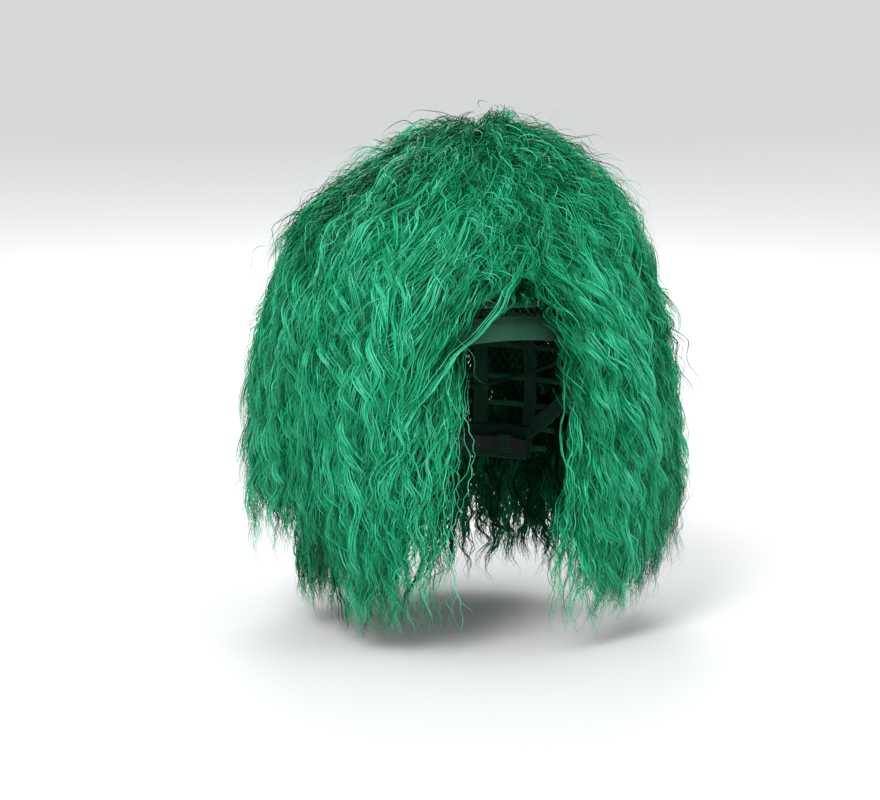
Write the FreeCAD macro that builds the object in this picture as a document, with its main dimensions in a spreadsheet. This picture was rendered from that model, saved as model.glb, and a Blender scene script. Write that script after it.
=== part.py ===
import FreeCAD, Part
import math
import os
import Sketcher
from FreeCAD import Vector, Placement, Rotation

# Costume wig: an elastic cap with rows of hair wefts sewn to it, two size straps with hooks,
# and two folding ear tabs.  Millimetres, +Z up, the face opening toward -Y, +X the wearer's left.
# The origin is the middle of the head space, at eye level.

doc = FreeCAD.newDocument("costume_wig")

# ---------------------------------------------------------------- driving dimensions
sheet = doc.addObject("Spreadsheet::Sheet", "dims")
SIZES = [
    ("cap_half_width", 78.0),      # head space, half width (X)
    ("cap_half_depth", 98.0),      # head space, half depth (Y)
    ("cap_half_height", 120.0),    # head space, eye level to crown (Z)
    ("band_thick", 1.2),
    ("net_off", 1.4),
    ("net_thick", 0.8),
    ("hairline_height", 14.0),     # height of the hairline plane over the origin
    ("hairline_slope", 19.8),      # degrees, front high, back low
    ("front_band_width", 16.0),
    ("net_overlap", 6.0),
    ("nape_top", -30.0),
    ("nape_bottom", -52.0),
    ("nape_start", 48.0),          # y where the nape band begins
    ("arch_width", 12.0),
    ("arch_slope", 37.5),
    ("ribbon_width", 11.0),
    ("ribbon_thick", 0.7),
    ("ribbon_off", 2.3),
    ("track_off", 4.0),
    ("track_thick", 0.8),
    ("track_height", 3.2),
    ("hair_off", 7.2),             # hair starts this far outside the head space
    ("swing_centre", 26.0),        # y of the axis the size straps turn about
    ("strap_mid", 58.1),           # radius of the middle of a size strap
    ("strap_thick", 1.0),
    ("strap_width", 9.0),
    ("strap_height", -41.0),       # z of the middle of the straps
    ("strap_start", 31.8),         # degrees from the back middle
    ("strap_angle", 45.0),
    ("bar_dia", 1.2),
    ("eye_dia", 3.2),
    ("eye_bore", 1.9),
    ("hook_length", 10.0),
    ("hook_width", 9.6),
    ("hook_thick", 0.7),
    ("tape_mid", 62.1),
    ("tape_thick", 0.6),
    ("tape_width", 12.0),
    ("loop_rise", 1.3),
    ("loop_wide", 3.0),
    ("sleeve_angle", 10.0),
    ("sleeve_start", 53.0),
    ("tab_x", 76.9),
    ("tab_thick", 1.0),
    ("tab_wide", 22.0),
    ("tab_long", 33.0),
    ("tab_y", -20.0),
    ("tab_z", -2.5),
    ("stay_thick", 0.6),
    ("stay_wide", 3.0),
    ("stay_long", 25.0),
    ("label_wide", 24.0),
    ("label_long", 16.0),
    ("label_thick", 0.4),
    ("gap_angle", 0.22),           # half gap between neighbouring hair sections, degrees
]
for row, (alias, value) in enumerate(SIZES, start=1):
    sheet.set("A%d" % row, alias)
    sheet.set("B%d" % row, str(value))
    sheet.setAlias("B%d" % row, alias)
doc.recompute()


def size(alias):
    return float(sheet.get(alias))


A, B, C = size("cap_half_width"), size("cap_half_depth"), size("cap_half_height")
NODES = []


def node(obj, label):
    obj.Label = label
    NODES.append((obj, label))
    return obj


# ---------------------------------------------------------------- small helpers
def shell(name, off, thick):
    """A thin ellipsoid shell that follows the head at a distance; off and thick are expressions."""
    made = []
    for tag, extra in (("outer", " + " + thick), ("inner", "")):
        e = doc.addObject("Part::Ellipsoid", name + "_" + tag)
        e.Angle1, e.Angle2, e.Angle3 = -90, 90, 360
        e.setExpression("Radius1", "dims.cap_half_height + %s%s" % (off, extra))
        e.setExpression("Radius2", "dims.cap_half_width + %s%s" % (off, extra))
        e.setExpression("Radius3", "dims.cap_half_depth + %s%s" % (off, extra))
        made.append(e)
    cut = doc.addObject("Part::Cut", name + "_shell")
    cut.Base, cut.Tool = made
    return cut


def block(name, x0, x1, y0, y1, z0, z1, height_expr=None):
    b = doc.addObject("Part::Box", name)
    b.Length, b.Width, b.Height = x1 - x0, y1 - y0, z1 - z0
    if height_expr:
        b.setExpression("Height", height_expr)
    b.Placement = Placement(Vector(x0, y0, z0), Rotation())
    return b


def slanted_slab(name, z_at_axis, slope_deg, width_alias, low=0.0):
    """A wide slab tilted about the X axis: high at the front (-Y), low at the back."""
    b = doc.addObject("Part::Box", name)
    b.Length, b.Width = 500, 500
    b.setExpression("Height", "dims." + width_alias)
    rot = Rotation(Vector(1, 0, 0), -slope_deg)
    b.Placement = Placement(Vector(0, 0, z_at_axis), rot).multiply(
        Placement(Vector(-250, -250, low), Rotation()))
    return b


def common(name, a, b):
    c = doc.addObject("Part::Common", name)
    c.Base, c.Tool = a, b
    return c


def cut(name, a, b):
    c = doc.addObject("Part::Cut", name)
    c.Base, c.Tool = a, b
    return c


def origin_plane(body, role):
    return [f for f in body.Origin.OriginFeatures if f.Role == role][0]


def sketch_on(body, name, role):
    sk = body.newObject("Sketcher::SketchObject", name)
    sk.AttachmentSupport = [(origin_plane(body, role), "")]
    sk.MapMode = "FlatFace"
    return sk


def add_polygon(sk, pts):
    first = sk.GeometryCount
    n = len(pts)
    for i in range(n):
        p, q = pts[i], pts[(i + 1) % n]
        sk.addGeometry(Part.LineSegment(Vector(p[0], p[1], 0), Vector(q[0], q[1], 0)), False)
    for i in range(n):
        sk.addConstraint(Sketcher.Constraint("Coincident", first + i, 2, first + (i + 1) % n, 1))
    return first


def add_rectangle(sk, x0, x1, y0, y1, exprs):
    """A rectangle with its four edges held by named distances; exprs = (x0, x1, y0, y1) expressions."""
    g = add_polygon(sk, [(x0, y0), (x1, y0), (x1, y1), (x0, y1)])
    for i, kind in ((0, "Horizontal"), (1, "Vertical"), (2, "Horizontal"), (3, "Vertical")):
        sk.addConstraint(Sketcher.Constraint(kind, g + i))
    held = (("DistanceX", g, 1, x0, exprs[0]), ("DistanceX", g, 2, x1, exprs[1]),
            ("DistanceY", g, 1, y0, exprs[2]), ("DistanceY", g + 2, 1, y1, exprs[3]))
    for kind, geo, pos, value, expr in held:
        c = sk.addConstraint(Sketcher.Constraint(kind, -1, 1, geo, pos, value))
        sk.setExpression("Constraints[%d]" % c, expr)
    return g


def turned(body, start_deg, side):
    """Place a body that was revolved about its own Z axis at the strap centre.

    The revolution begins at +X of the body; start_deg is counted from the back middle (+Y)
    toward the wearer's left (side +1) or right (side -1)."""
    centre = Vector(0, size("swing_centre"), 0)
    body.Placement = Placement(centre, Rotation(Vector(0, 0, 1), start_deg))


def revolved(label, rects, angle_expr, start_deg):
    """A PartDesign body: one or two rectangles (the second is a hollow) turned about a vertical axis."""
    body = doc.addObject("PartDesign::Body", label + "_body")
    sk = sketch_on(body, label + "_section", "XZ_Plane")
    for r in rects:
        add_rectangle(sk, *r)
    rev = body.newObject("PartDesign::Revolution", label + "_turn")
    rev.Profile = sk
    rev.ReferenceAxis = (sk, ["V_Axis"])
    rev.setExpression("Angle", angle_expr)
    doc.recompute()
    return body


# angle convention for turned pieces: degrees counter-clockwise from +X, seen from above.
# back middle (+Y) is 90; the wearer's left side is 90 - t, the wearer's right side is 90 + t.
def span_start(side, t0, t1):
    """Start angle (ccw) of a piece that covers t0..t1 degrees from the back middle on one side."""
    return 90 - t1 if side > 0 else 90 + t0


# ---------------------------------------------------------------- the cap
slope = size("hairline_slope")
zc = size("hairline_height")

# crown net: a dome above the slanted hairline plane
net_shell = shell("net", "dims.net_off", "dims.net_thick")
net_keep = doc.addObject("Part::Box", "net_keep")
net_keep.Length, net_keep.Width, net_keep.Height = 500, 500, 300
net_low = size("front_band_width") - size("net_overlap")
net_keep.Placement = Placement(Vector(0, 0, zc), Rotation(Vector(1, 0, 0), -slope)).multiply(
    Placement(Vector(-250, -250, net_low), Rotation()))
node(common("crown_net_part", net_shell, net_keep), "crown_net")

def head_radius(off, z, az):
    """Horizontal distance from the Z axis to the head surface grown by off, along azimuth az."""
    k = 1 - (z / (C + off)) ** 2
    if k <= 0:
        return 0.0
    k = math.sqrt(k)
    ax, by = (A + off) * k, (B + off) * k
    return 1 / math.sqrt((math.sin(az) / ax) ** 2 + (math.cos(az) / by) ** 2)



def height_on_plane(off, az, z0, slope_deg, rise):
    """Height at which a plane, tilted high at the front, meets the head surface along azimuth az."""
    k = math.tan(math.radians(slope_deg))
    z = z0
    for _ in range(60):
        y = -head_radius(off, z, az) * math.cos(az)
        z = 0.5 * z + 0.5 * (z0 + rise - k * y)
    return z


def band(label, az0, az1, low, high, off, th, step=9.0):
    """A flat band bent round the head: quads from azimuth az0 to az1, low(az) to high(az)."""
    n = max(2, int(round((az1 - az0) / step)))
    wires = []
    for i in range(n + 1):
        az = math.radians(az0 + (az1 - az0) * i / n)
        d = Vector(math.sin(az), -math.cos(az), 0)
        zl, zh = low(az), high(az)
        rl, rh = head_radius(off, zl, az), head_radius(off, zh, az)
        pts = [d * rl + Vector(0, 0, zl), d * (rl + th) + Vector(0, 0, zl),
               d * (rh + th) + Vector(0, 0, zh), d * rh + Vector(0, 0, zh)]
        wires.append(Part.makePolygon(pts + pts[:1]))
    f = doc.addObject("Part::Feature", label + "_strip")
    f.Shape = Part.makeLoft(wires, True, True)
    f.Placement = Placement()
    return node(f, label)


bt = size("band_thick")
rise = size("front_band_width") / math.cos(math.radians(slope))

# hairline band: from ear to ear over the forehead
band("front_band", -93.0, 93.0, lambda az: height_on_plane(0, az, zc, slope, 0),
     lambda az: height_on_plane(0, az, zc, slope, rise), 0.0, bt)

# nape band
band("nape_band", 128.0, 232.0, lambda az: size("nape_bottom"), lambda az: size("nape_top"), 0.0, bt, 8.0)

# ear arches: binding from the hairline band down behind each ear to the nape band
for side, tag in ((1, "left"), (-1, "right")):
    aw = size("arch_width") / 2 / math.cos(math.radians(size("arch_slope")))
    lo_az, hi_az = (93.4, 127.6) if side > 0 else (232.4, 266.6)
    band("ear_arch_" + tag, lo_az, hi_az,
         lambda az: height_on_plane(0, az, 7.0, size("arch_slope"), -aw),
         lambda az: height_on_plane(0, az, 7.0, size("arch_slope"), aw), 0.0, bt, 7.0)


# upright ribbons: flat strips of elastic bent to the back of the cap, their lower ends on the nape band
def ribbon(label, az_deg):
    az = math.radians(az_deg)
    off, th, wide = size("ribbon_off"), size("ribbon_thick"), size("ribbon_width")
    inner, outer = [], []
    z = -50.0
    while z <= 34.0:
        lift = 0.0
        if z < -26:                      # the lower end lies down on the nape band
            f = min(1.0, (-26 - z) / 8.0)
            lift = -(off - size("band_thick") - 0.15) * f
        r = head_radius(off + lift, z, az)
        inner.append((r, z))
        outer.append((r + th, z))
        z += 6.0
    pts = inner + outer[::-1]
    d = Vector(math.sin(az), -math.cos(az), 0)
    ra, rb = head_radius(off, 0, az - 0.01), head_radius(off, 0, az + 0.01)
    n = Vector(rb * math.sin(az + 0.01) - ra * math.sin(az - 0.01),
               ra * math.cos(az - 0.01) - rb * math.cos(az + 0.01), 0)
    n.normalize()                        # the strip lies along the head's own tangent here
    low = [d * r + Vector(0, 0, z) - n * (wide / 2) for r, z in pts]
    face = Part.Face(Part.makePolygon(low + low[:1]))
    f = doc.addObject("Part::Feature", label + "_strip")
    f.Shape = face.extrude(n * wide)
    f.Placement = Placement()
    return node(f, label)


ribbon("ribbon_centre", 180.0)
ribbon("ribbon_inner_left", 154.0)
ribbon("ribbon_inner_right", 206.0)
ribbon("ribbon_outer_left", 130.0)
ribbon("ribbon_outer_right", 230.0)


# weft tracks: sewn headers in rows; each one is a narrow ring or arc that follows the cap
def ring_shape(z0, z1, off, th, az0, az1, step=7.5):
    """An upright strip z0..z1 that follows the head, from azimuth az0 to az1 (None = closed ring)."""
    closed = az0 is None
    if closed:
        az0, az1 = 0.0, 360.0
    n = max(2, int(round((az1 - az0) / step)))
    zs = (z0, z1)
    loops = []
    for k, z in ((0, z0), (1, z1)):
        rin = []
        rout = []
        for i in range(n + (0 if closed else 1)):
            a = math.radians(az0 + (az1 - az0) * i / n)
            r = head_radius(off, z, a)
            rin.append(Vector(r * math.sin(a), -r * math.cos(a), z))
            rout.append(Vector((r + th) * math.sin(a), -(r + th) * math.cos(a), z))
        loops.append((rin, rout))
    if closed:
        outs, ins = [], []
        for rin, rout in loops:
            outs.append(Part.makePolygon(rout + rout[:1]))
            ins.append(Part.makePolygon(rin + rin[:1]))
        o = Part.makeLoft(outs, True, True)
        i = Part.makeLoft(ins, True, True)
        return o.cut(i)
    wires = []
    for rin, rout in loops:
        pts = rout + rin[::-1]
        wires.append(Part.makePolygon(pts + pts[:1]))
    return Part.makeLoft(wires, True, True)


TRACKS = [            # middle height, half span in degrees each way from the back (None = all round)
    (-44.0, 62.0),
    (-31.0, 66.0),
    (-16.0, 84.0),
    (2.0, 96.0),
    (24.0, 118.0),
    (46.0, 134.0),
    (68.0, None),
    (90.0, None),
]
for i, (zt, span) in enumerate(TRACKS, start=1):
    hh = size("track_height") / 2
    off, th = size("track_off"), size("track_thick")
    if span is None:
        shp = ring_shape(zt - hh, zt + hh, off, th, None, None)
    else:
        shp = ring_shape(zt - hh, zt + hh, off, th, 180 - span, 180 + span)
    f = doc.addObject("Part::Feature", "weft_track_%d_strip" % i)
    f.Shape = shp
    f.Placement = Placement()
    node(f, "weft_track_%d" % i)

# closing coil at the crown: the last weft wound flat into a ring on top of the net
NET_TOP = size("net_off") + size("net_thick")


def coil_height(r, minor):
    """Height of a flat ring of that radius lying just on top of the net."""
    return (C + NET_TOP) * math.sqrt(1 - (r / (B + NET_TOP)) ** 2) + minor + 0.15


COIL_R, COIL_IN, COIL_MINOR = 20.0, 11.0, 1.1
zr, zi = coil_height(COIL_R, COIL_MINOR), coil_height(COIL_IN, COIL_MINOR)
coil = doc.addObject("Part::Torus", "crown_coil_ring")
coil.Radius1, coil.Radius2 = COIL_R, COIL_MINOR
coil.Placement = Placement(Vector(0, 0, zr), Rotation())
coil_in = doc.addObject("Part::Torus", "crown_coil_inner")
coil_in.Radius1, coil_in.Radius2 = COIL_IN, COIL_MINOR
coil_in.Placement = Placement(Vector(0, 0, zi), Rotation())
coil_bridge = doc.addObject("Part::Cylinder", "crown_coil_bridge")
coil_bridge.Radius = COIL_MINOR * 0.85
coil_bridge.Height = math.hypot(COIL_R - COIL_IN, zi - zr)
coil_bridge.Placement = Placement(Vector(0, COIL_IN, zi), Rotation(
    Vector(1, 0, 0), -90 - math.degrees(math.atan2(zi - zr, COIL_R - COIL_IN))))
cf1 = doc.addObject("Part::Fuse", "crown_coil_pair")
cf1.Base, cf1.Tool = coil, coil_in
cf2 = doc.addObject("Part::Fuse", "crown_coil_part")
cf2.Base, cf2.Tool = cf1, coil_bridge
node(cf2, "crown_coil")

# ---------------------------------------------------------------- size straps, hooks, sleeves, loops
zs = "dims.strap_height"
for side, tag in ((1, "left"), (-1, "right")):
    sm, stt, sw, zm = size("strap_mid"), size("strap_thick"), size("strap_width"), size("strap_height")
    t0 = size("strap_start")
    t1 = t0 + size("strap_angle")
    strap = revolved("size_strap_" + tag, [(
        sm - stt / 2, sm + stt / 2, zm - sw / 2, zm + sw / 2,
        ("dims.strap_mid - dims.strap_thick / 2", "dims.strap_mid + dims.strap_thick / 2",
         "dims.strap_height - dims.strap_width / 2", "dims.strap_height + dims.strap_width / 2"))],
        "dims.strap_angle", 0)
    strap.Placement = Placement(Vector(0, size("swing_centre"), 0),
                                Rotation(Vector(0, 0, 1), span_start(side, t0, t1)))
    # sewn eye at the strap's end, round the bar of the hook
    eye_t = 30.0
    ea = math.radians(90 - eye_t if side > 0 else 90 + eye_t)
    ex, ey = sm * math.cos(ea), size("swing_centre") + sm * math.sin(ea)
    eye = doc.addObject("Part::Cylinder", "eye_" + tag)
    eye.setExpression("Radius", "dims.eye_dia / 2")
    eye.Height = 6.6
    eye.Placement = Placement(Vector(ex, ey, zm - 3.3), Rotation())
    bore = doc.addObject("Part::Cylinder", "eye_bore_" + tag)
    bore.setExpression("Radius", "dims.eye_bore / 2")
    bore.Height = 20
    bore.Placement = Placement(Vector(ex, ey, zm - 10), Rotation())
    # short neck between the eye and the strap
    neck = doc.addObject("Part::Box", "eye_neck_" + tag)
    neck.Length, neck.Width, neck.Height = 2.6, 1.0, 6.6
    tangent = (90 - eye_t - 90) if side > 0 else (90 + eye_t + 90)
    neck.Placement = Placement(Vector(ex, ey, zm - 3.3), Rotation(Vector(0, 0, 1), tangent)).multiply(
        Placement(Vector(0.4, -0.5, 0), Rotation()))
    fu1 = doc.addObject("Part::Fuse", "strap_eye_" + tag)
    fu1.Base, fu1.Tool = strap, eye
    fu2 = doc.addObject("Part::Fuse", "strap_neck_" + tag)
    fu2.Base, fu2.Tool = fu1, neck
    node(cut("size_strap_part_" + tag, fu2, bore), "size_strap_" + tag)

    # hook: bar, two side arms, plate and a turned-back tongue; +x of the hook points to the middle
    hw, ht, hl = size("hook_width"), size("hook_thick"), size("hook_length")
    body = doc.addObject("PartDesign::Body", "hook_body_" + tag)
    prof = sketch_on(body, "hook_profile_" + tag, "XY_Plane")
    add_polygon(prof, [(2.4, -ht / 2), (hl, -ht / 2), (hl, ht / 2 + 1.35), (4.2, ht / 2 + 1.35),
                       (4.2, ht / 2 + 0.75), (hl - 0.65, ht / 2 + 0.75), (hl - 0.65, ht / 2), (2.4, ht / 2)])
    pad = body.newObject("PartDesign::Pad", "hook_pad_" + tag)
    pad.Profile = prof
    pad.Midplane = True
    pad.setExpression("Length", "dims.hook_width")
    doc.recompute()
    bar = doc.addObject("Part::Cylinder", "hook_bar_" + tag)
    bar.setExpression("Radius", "dims.bar_dia / 2")
    bar.setExpression("Height", "dims.hook_width")
    bar.Placement = Placement(Vector(0, 0, -hw / 2), Rotation())
    arm_a = block("hook_arm_a_" + tag, -0.3, 2.8, -ht / 2, ht / 2, 3.7, hw / 2)
    arm_b = block("hook_arm_b_" + tag, -0.3, 2.8, -ht / 2, ht / 2, -hw / 2, -3.7)
    parts = doc.addObject("Part::MultiFuse", "hook_fused_" + tag)
    parts.Shapes = [body, bar, arm_a, arm_b]
    # the hook lies along the chord: its tip is at the same radius as its bar
    chord = math.degrees(math.asin(hl / 2 / sm))
    if side > 0:
        turn = (90 - eye_t) + 90 + chord          # +x local toward the middle (ccw on the left side)
        place = Placement(Vector(ex, ey, zm), Rotation(Vector(0, 0, 1), turn)).multiply(
            Placement(Vector(0, 0, 0), Rotation(Vector(1, 0, 0), 180)))
    else:
        turn = (90 + eye_t) - 90 - chord
        place = Placement(Vector(ex, ey, zm), Rotation(Vector(0, 0, 1), turn))
    parts.Placement = place
    node(parts, "strap_hook_" + tag)

    # fabric sleeve round the strap, sewn to the nape band
    lo = size("sleeve_start")
    sleeve = revolved("strap_sleeve_" + tag, [
        (sm - 1.5, 62.4, zm - sw / 2 - 2.0, zm + sw / 2 + 2.0,
         ("dims.strap_mid - 1.5", "62.4", "dims.strap_height - dims.strap_width / 2 - 2",
          "dims.strap_height + dims.strap_width / 2 + 2")),
        (sm - 0.9, sm + 0.9, zm - sw / 2 - 0.6, zm + sw / 2 + 0.6,
         ("dims.strap_mid - 0.9", "dims.strap_mid + 0.9", "dims.strap_height - dims.strap_width / 2 - 0.6",
          "dims.strap_height + dims.strap_width / 2 + 0.6"))],
        "dims.sleeve_angle", 0)
    sleeve.Placement = Placement(Vector(0, size("swing_centre"), 0),
                                 Rotation(Vector(0, 0, 1), span_start(side, lo, lo + size("sleeve_angle"))))
    node(sleeve, "strap_sleeve_" + tag)

    # ladder of loops: a tape with three webbing loops standing inward
    tm, tt, tw = size("tape_mid"), size("tape_thick"), size("tape_width")
    tape = revolved("ladder_tape_" + tag, [(
        tm - tt / 2, tm + tt / 2, zm - tw / 2, zm + tw / 2,
        ("dims.tape_mid - dims.tape_thick / 2", "dims.tape_mid + dims.tape_thick / 2",
         "dims.strap_height - dims.tape_width / 2", "dims.strap_height + dims.tape_width / 2"))],
        "20", 0)
    tape.Placement = Placement(Vector(0, size("swing_centre"), 0),
                               Rotation(Vector(0, 0, 1), span_start(side, 6.5, 26.5)))
    members = [tape]
    for k, tl in enumerate((11.0, 17.0, 23.0)):
        wide_deg = math.degrees(size("loop_wide") / tm)
        r_in = tm - tt / 2 - size("loop_rise")
        loop = revolved("loop_%d_%s" % (k, tag), [
            (r_in, tm - 0.05, zm - tw / 2 + 0.4, zm + tw / 2 - 0.4,
             ("dims.tape_mid - dims.tape_thick / 2 - dims.loop_rise", "dims.tape_mid - 0.05",
              "dims.strap_height - dims.tape_width / 2 + 0.4", "dims.strap_height + dims.tape_width / 2 - 0.4")),
            (r_in + 0.45, tm - tt / 2, zm - tw / 2 + 1.2, zm + tw / 2 - 1.2,
             ("dims.tape_mid - dims.tape_thick / 2 - dims.loop_rise + 0.45", "dims.tape_mid - dims.tape_thick / 2",
              "dims.strap_height - dims.tape_width / 2 + 1.2", "dims.strap_height + dims.tape_width / 2 - 1.2"))],
            "%.3f" % wide_deg, 0)
        loop.Placement = Placement(Vector(0, size("swing_centre"), 0),
                                   Rotation(Vector(0, 0, 1), span_start(side, tl - wide_deg / 2, tl + wide_deg / 2)))
        members.append(loop)
    ladder = doc.addObject("Part::MultiFuse", "loop_ladder_part_" + tag)
    ladder.Shapes = members
    node(ladder, "loop_ladder_" + tag)

# ---------------------------------------------------------------- ear tabs and their stays
for side, tag in ((1, "left"), (-1, "right")):
    w, l, t = size("tab_wide"), size("tab_long"), size("tab_thick")
    body = doc.addObject("PartDesign::Body", "ear_tab_body_" + tag)
    sk = sketch_on(body, "ear_tab_outline_" + tag, "YZ_Plane")
    # tongue: straight top, sides drawn in toward a round lower end
    add_polygon(sk, [(-w / 2, 0), (w / 2, 0), (w / 2 - 1.5, -l * 0.45), (w / 2 - 5.0, -l * 0.85),
                     (w / 2 - 8.5, -l), (-w / 2 + 8.5, -l), (-w / 2 + 5.0, -l * 0.85), (-w / 2 + 1.5, -l * 0.45)])
    pad = body.newObject("PartDesign::Pad", "ear_tab_pad_" + tag)
    pad.Profile = sk
    pad.Midplane = True
    pad.setExpression("Length", "dims.tab_thick")
    doc.recompute()
    body.Placement = Placement(Vector(side * size("tab_x"), size("tab_y"), size("tab_z")),
                               Rotation(Vector(0, 1, 0), side * 4.0))
    node(body, "ear_tab_" + tag)

    body2 = doc.addObject("PartDesign::Body", "ear_stay_body_" + tag)
    sk2 = sketch_on(body2, "ear_stay_outline_" + tag, "YZ_Plane")
    sw2, sl = size("stay_wide") / 2, size("stay_long")
    add_polygon(sk2, [(-sw2, -4), (-sw2 + 0.8, -3.2), (sw2 - 0.8, -3.2), (sw2, -4), (sw2, -4 - sl),
                      (sw2 - 0.8, -4.8 - sl), (-sw2 + 0.8, -4.8 - sl), (-sw2, -4 - sl)])
    pad2 = body2.newObject("PartDesign::Pad", "ear_stay_pad_" + tag)
    pad2.Profile = sk2
    pad2.Midplane = True
    pad2.setExpression("Length", "dims.stay_thick")
    doc.recompute()
    gap = t / 2 + size("stay_thick") / 2 + 0.02
    body2.Placement = Placement(Vector(side * size("tab_x"), size("tab_y"), size("tab_z")),
                                Rotation(Vector(0, 1, 0), side * 4.0)).multiply(
        Placement(Vector(-side * gap, 0, 0), Rotation()))
    node(body2, "ear_stay_" + tag)

# ---------------------------------------------------------------- care label and bar tacks
lab = doc.addObject("Part::Box", "care_label_flag")
lab.setExpression("Length", "dims.label_wide")
lab.setExpression("Width", "dims.label_thick")
lab.setExpression("Height", "dims.label_long")
lab_y = head_radius(0, -29.0, math.pi) - 3.4
lab.Placement = Placement(Vector(-size("label_wide") / 2, lab_y, -29.5), Rotation(Vector(1, 0, 0), -14))
node(lab, "care_label")

tacks = []
for az_deg in (180.0, 154.0, 206.0, 130.0, 230.0):
    az = math.radians(az_deg)
    for z in (-47.5, 31.0):
        off = size("ribbon_off") + size("ribbon_thick") + 0.05
        if z < -30:
            off = size("band_thick") + 0.15 + size("ribbon_thick") + 0.05
        r = head_radius(off, z, az)
        d = Vector(math.sin(az), -math.cos(az), 0)
        b = Part.makeBox(9.0, 0.7, 1.4, Vector(-4.5, -0.35, -0.7))
        ra, rb = head_radius(off, 0, az - 0.01), head_radius(off, 0, az + 0.01)
        tx = rb * math.sin(az + 0.01) - ra * math.sin(az - 0.01)
        ty = ra * math.cos(az - 0.01) - rb * math.cos(az + 0.01)
        rot = Rotation(Vector(0, 0, 1), math.degrees(math.atan2(ty, tx)))
        b.Placement = Placement(d * (r + 0.6) + Vector(0, 0, z), rot)
        tacks.append(b)
f = doc.addObject("Part::Feature", "bar_tacks_group")
f.Shape = Part.makeCompound(tacks)
f.Placement = Placement()
node(f, "bar_tacks")

# ---------------------------------------------------------------- the hair
# Each section is a closed solid through stations from its roots to its tips.  A station is a radial
# line between an inner and an outer point; each point is (front, side, back, z): how far from the
# vertical axis the surface lies in front of, beside and behind the head, at the height z.
OFF = size("hair_off")


def on_cap(z):
    k = math.sqrt(1 - (z / (C + OFF)) ** 2)
    return ((B + OFF) * k, (A + OFF) * k, (B + OFF) * k, z)


def reach(pt, az):
    front, side_r, back, z = pt
    y = front if math.cos(az) > 0 else back
    return 1 / math.sqrt((math.sin(az) / side_r) ** 2 + (math.cos(az) / y) ** 2)


def hair(label, stations, az0, az1, side):
    """A faceted solid between azimuths az0..az1 (degrees from the front toward the wearer's left)."""
    g = size("gap_angle")
    a0, a1 = az0 + g, az1 - g
    n = max(2, int(round((az1 - az0) / 13.0)))
    grid = []                                  # grid[station][0 inner, 1 outer][azimuth step]
    for station in stations:
        pair = []
        for pt in station:
            line = []
            for i in range(n + 1):
                a = math.radians(a0 + (a1 - a0) * i / n)
                r = reach(pt, a)
                line.append(Vector(side * r * math.sin(a), -r * math.cos(a), pt[3]))
            pair.append(line)
        grid.append(pair)
    faces = []

    def quad(p, q, r, s):
        for tri in ((p, q, r), (p, r, s)):
            if (tri[1] - tri[0]).cross(tri[2] - tri[0]).Length > 1e-6:
                faces.append(Part.Face(Part.makePolygon(list(tri) + [tri[0]])))

    last = len(stations) - 1
    for k in range(last):
        for i in range(n):
            for w in (0, 1):
                quad(grid[k][w][i], grid[k][w][i + 1], grid[k + 1][w][i + 1], grid[k + 1][w][i])
        for i in (0, n):
            quad(grid[k][0][i], grid[k][1][i], grid[k + 1][1][i], grid[k + 1][0][i])
    for k in (0, last):
        for i in range(n):
            quad(grid[k][0][i], grid[k][0][i + 1], grid[k][1][i + 1], grid[k][1][i])
    skin = Part.makeShell(faces)
    skin.sewShape()
    solid = Part.makeSolid(skin)
    if solid.Volume < 0:
        solid.reverse()
    f = doc.addObject("Part::Feature", label + "_mass")
    f.Shape = solid
    f.Placement = Placement()
    return node(f, label)


TOP = C + OFF + 0.6
CROWN_ROOT = [
    ((4, 4, 4, TOP), (4, 4, 4, 185)),
    (on_cap(124), (25, 25, 27, 180.5)),
    (on_cap(116), (47, 47, 52, 171)),
    (on_cap(100), (78, 80, 86, 146)),
    (on_cap(78), (99, 106, 112, 114)),
]
CROWN_FRONT = CROWN_ROOT + [(on_cap(57), (113, 119, 113, 70))]
CROWN = CROWN_ROOT + [
    ((101, 100, 108, 69), (112, 122, 128, 80)),
    ((106, 112, 119, 45), (119, 132, 137, 50)),
    ((110, 120, 127, 15), (123, 139, 145, 15)),
    ((114, 128, 134, -22), (123, 138, 144, -28)),
]
CURTAIN = [
    (on_cap(54), (108, 106, 108, 55)),
    (on_cap(30), (117, 119, 117, 28)),
    ((104.4, 85.2, 104, 0), (122, 131, 122, 0)),
    ((105, 89, 105, -40), (124, 139, 124, -45)),
    ((107, 93, 107, -85), (121, 133, 121, -88)),
    ((109, 97, 109, -112), (117, 124, 117, -118)),
]
MID = [
    (on_cap(70), (90, 77, 92, 70.5)),
    (on_cap(54), (100, 101, 109, 55)),
    (on_cap(30), (105.5, 113.5, 120, 30)),
    (on_cap(6), (108.6, 119.5, 126, 6)),
    ((105.5, 99, 113, -16), (111.3, 124.8, 131, -20)),
    ((107, 105.5, 118, -50), (123.5, 138.5, 145, -52)),
    ((108, 108.5, 120, -80), (122, 133, 139, -86)),
    ((109, 112, 122, -106), (117, 124, 130, -112)),
]
NAPE = [
    ((102.6, 86, 103.6, -4), (103.2, 87.2, 105.0, -5)),
    ((102.4, 86, 102.8, -20), (103.4, 96.5, 110.5, -18)),
    ((101, 86, 99.5, -48), (105, 103, 115.5, -50)),
    ((100, 86, 96, -80), (106, 106, 117.5, -80)),
    ((100, 88, 95, -106), (107, 109, 119.5, -108)),
    ((100, 93, 100, -131), (105, 106, 114, -134)),
]
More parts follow.
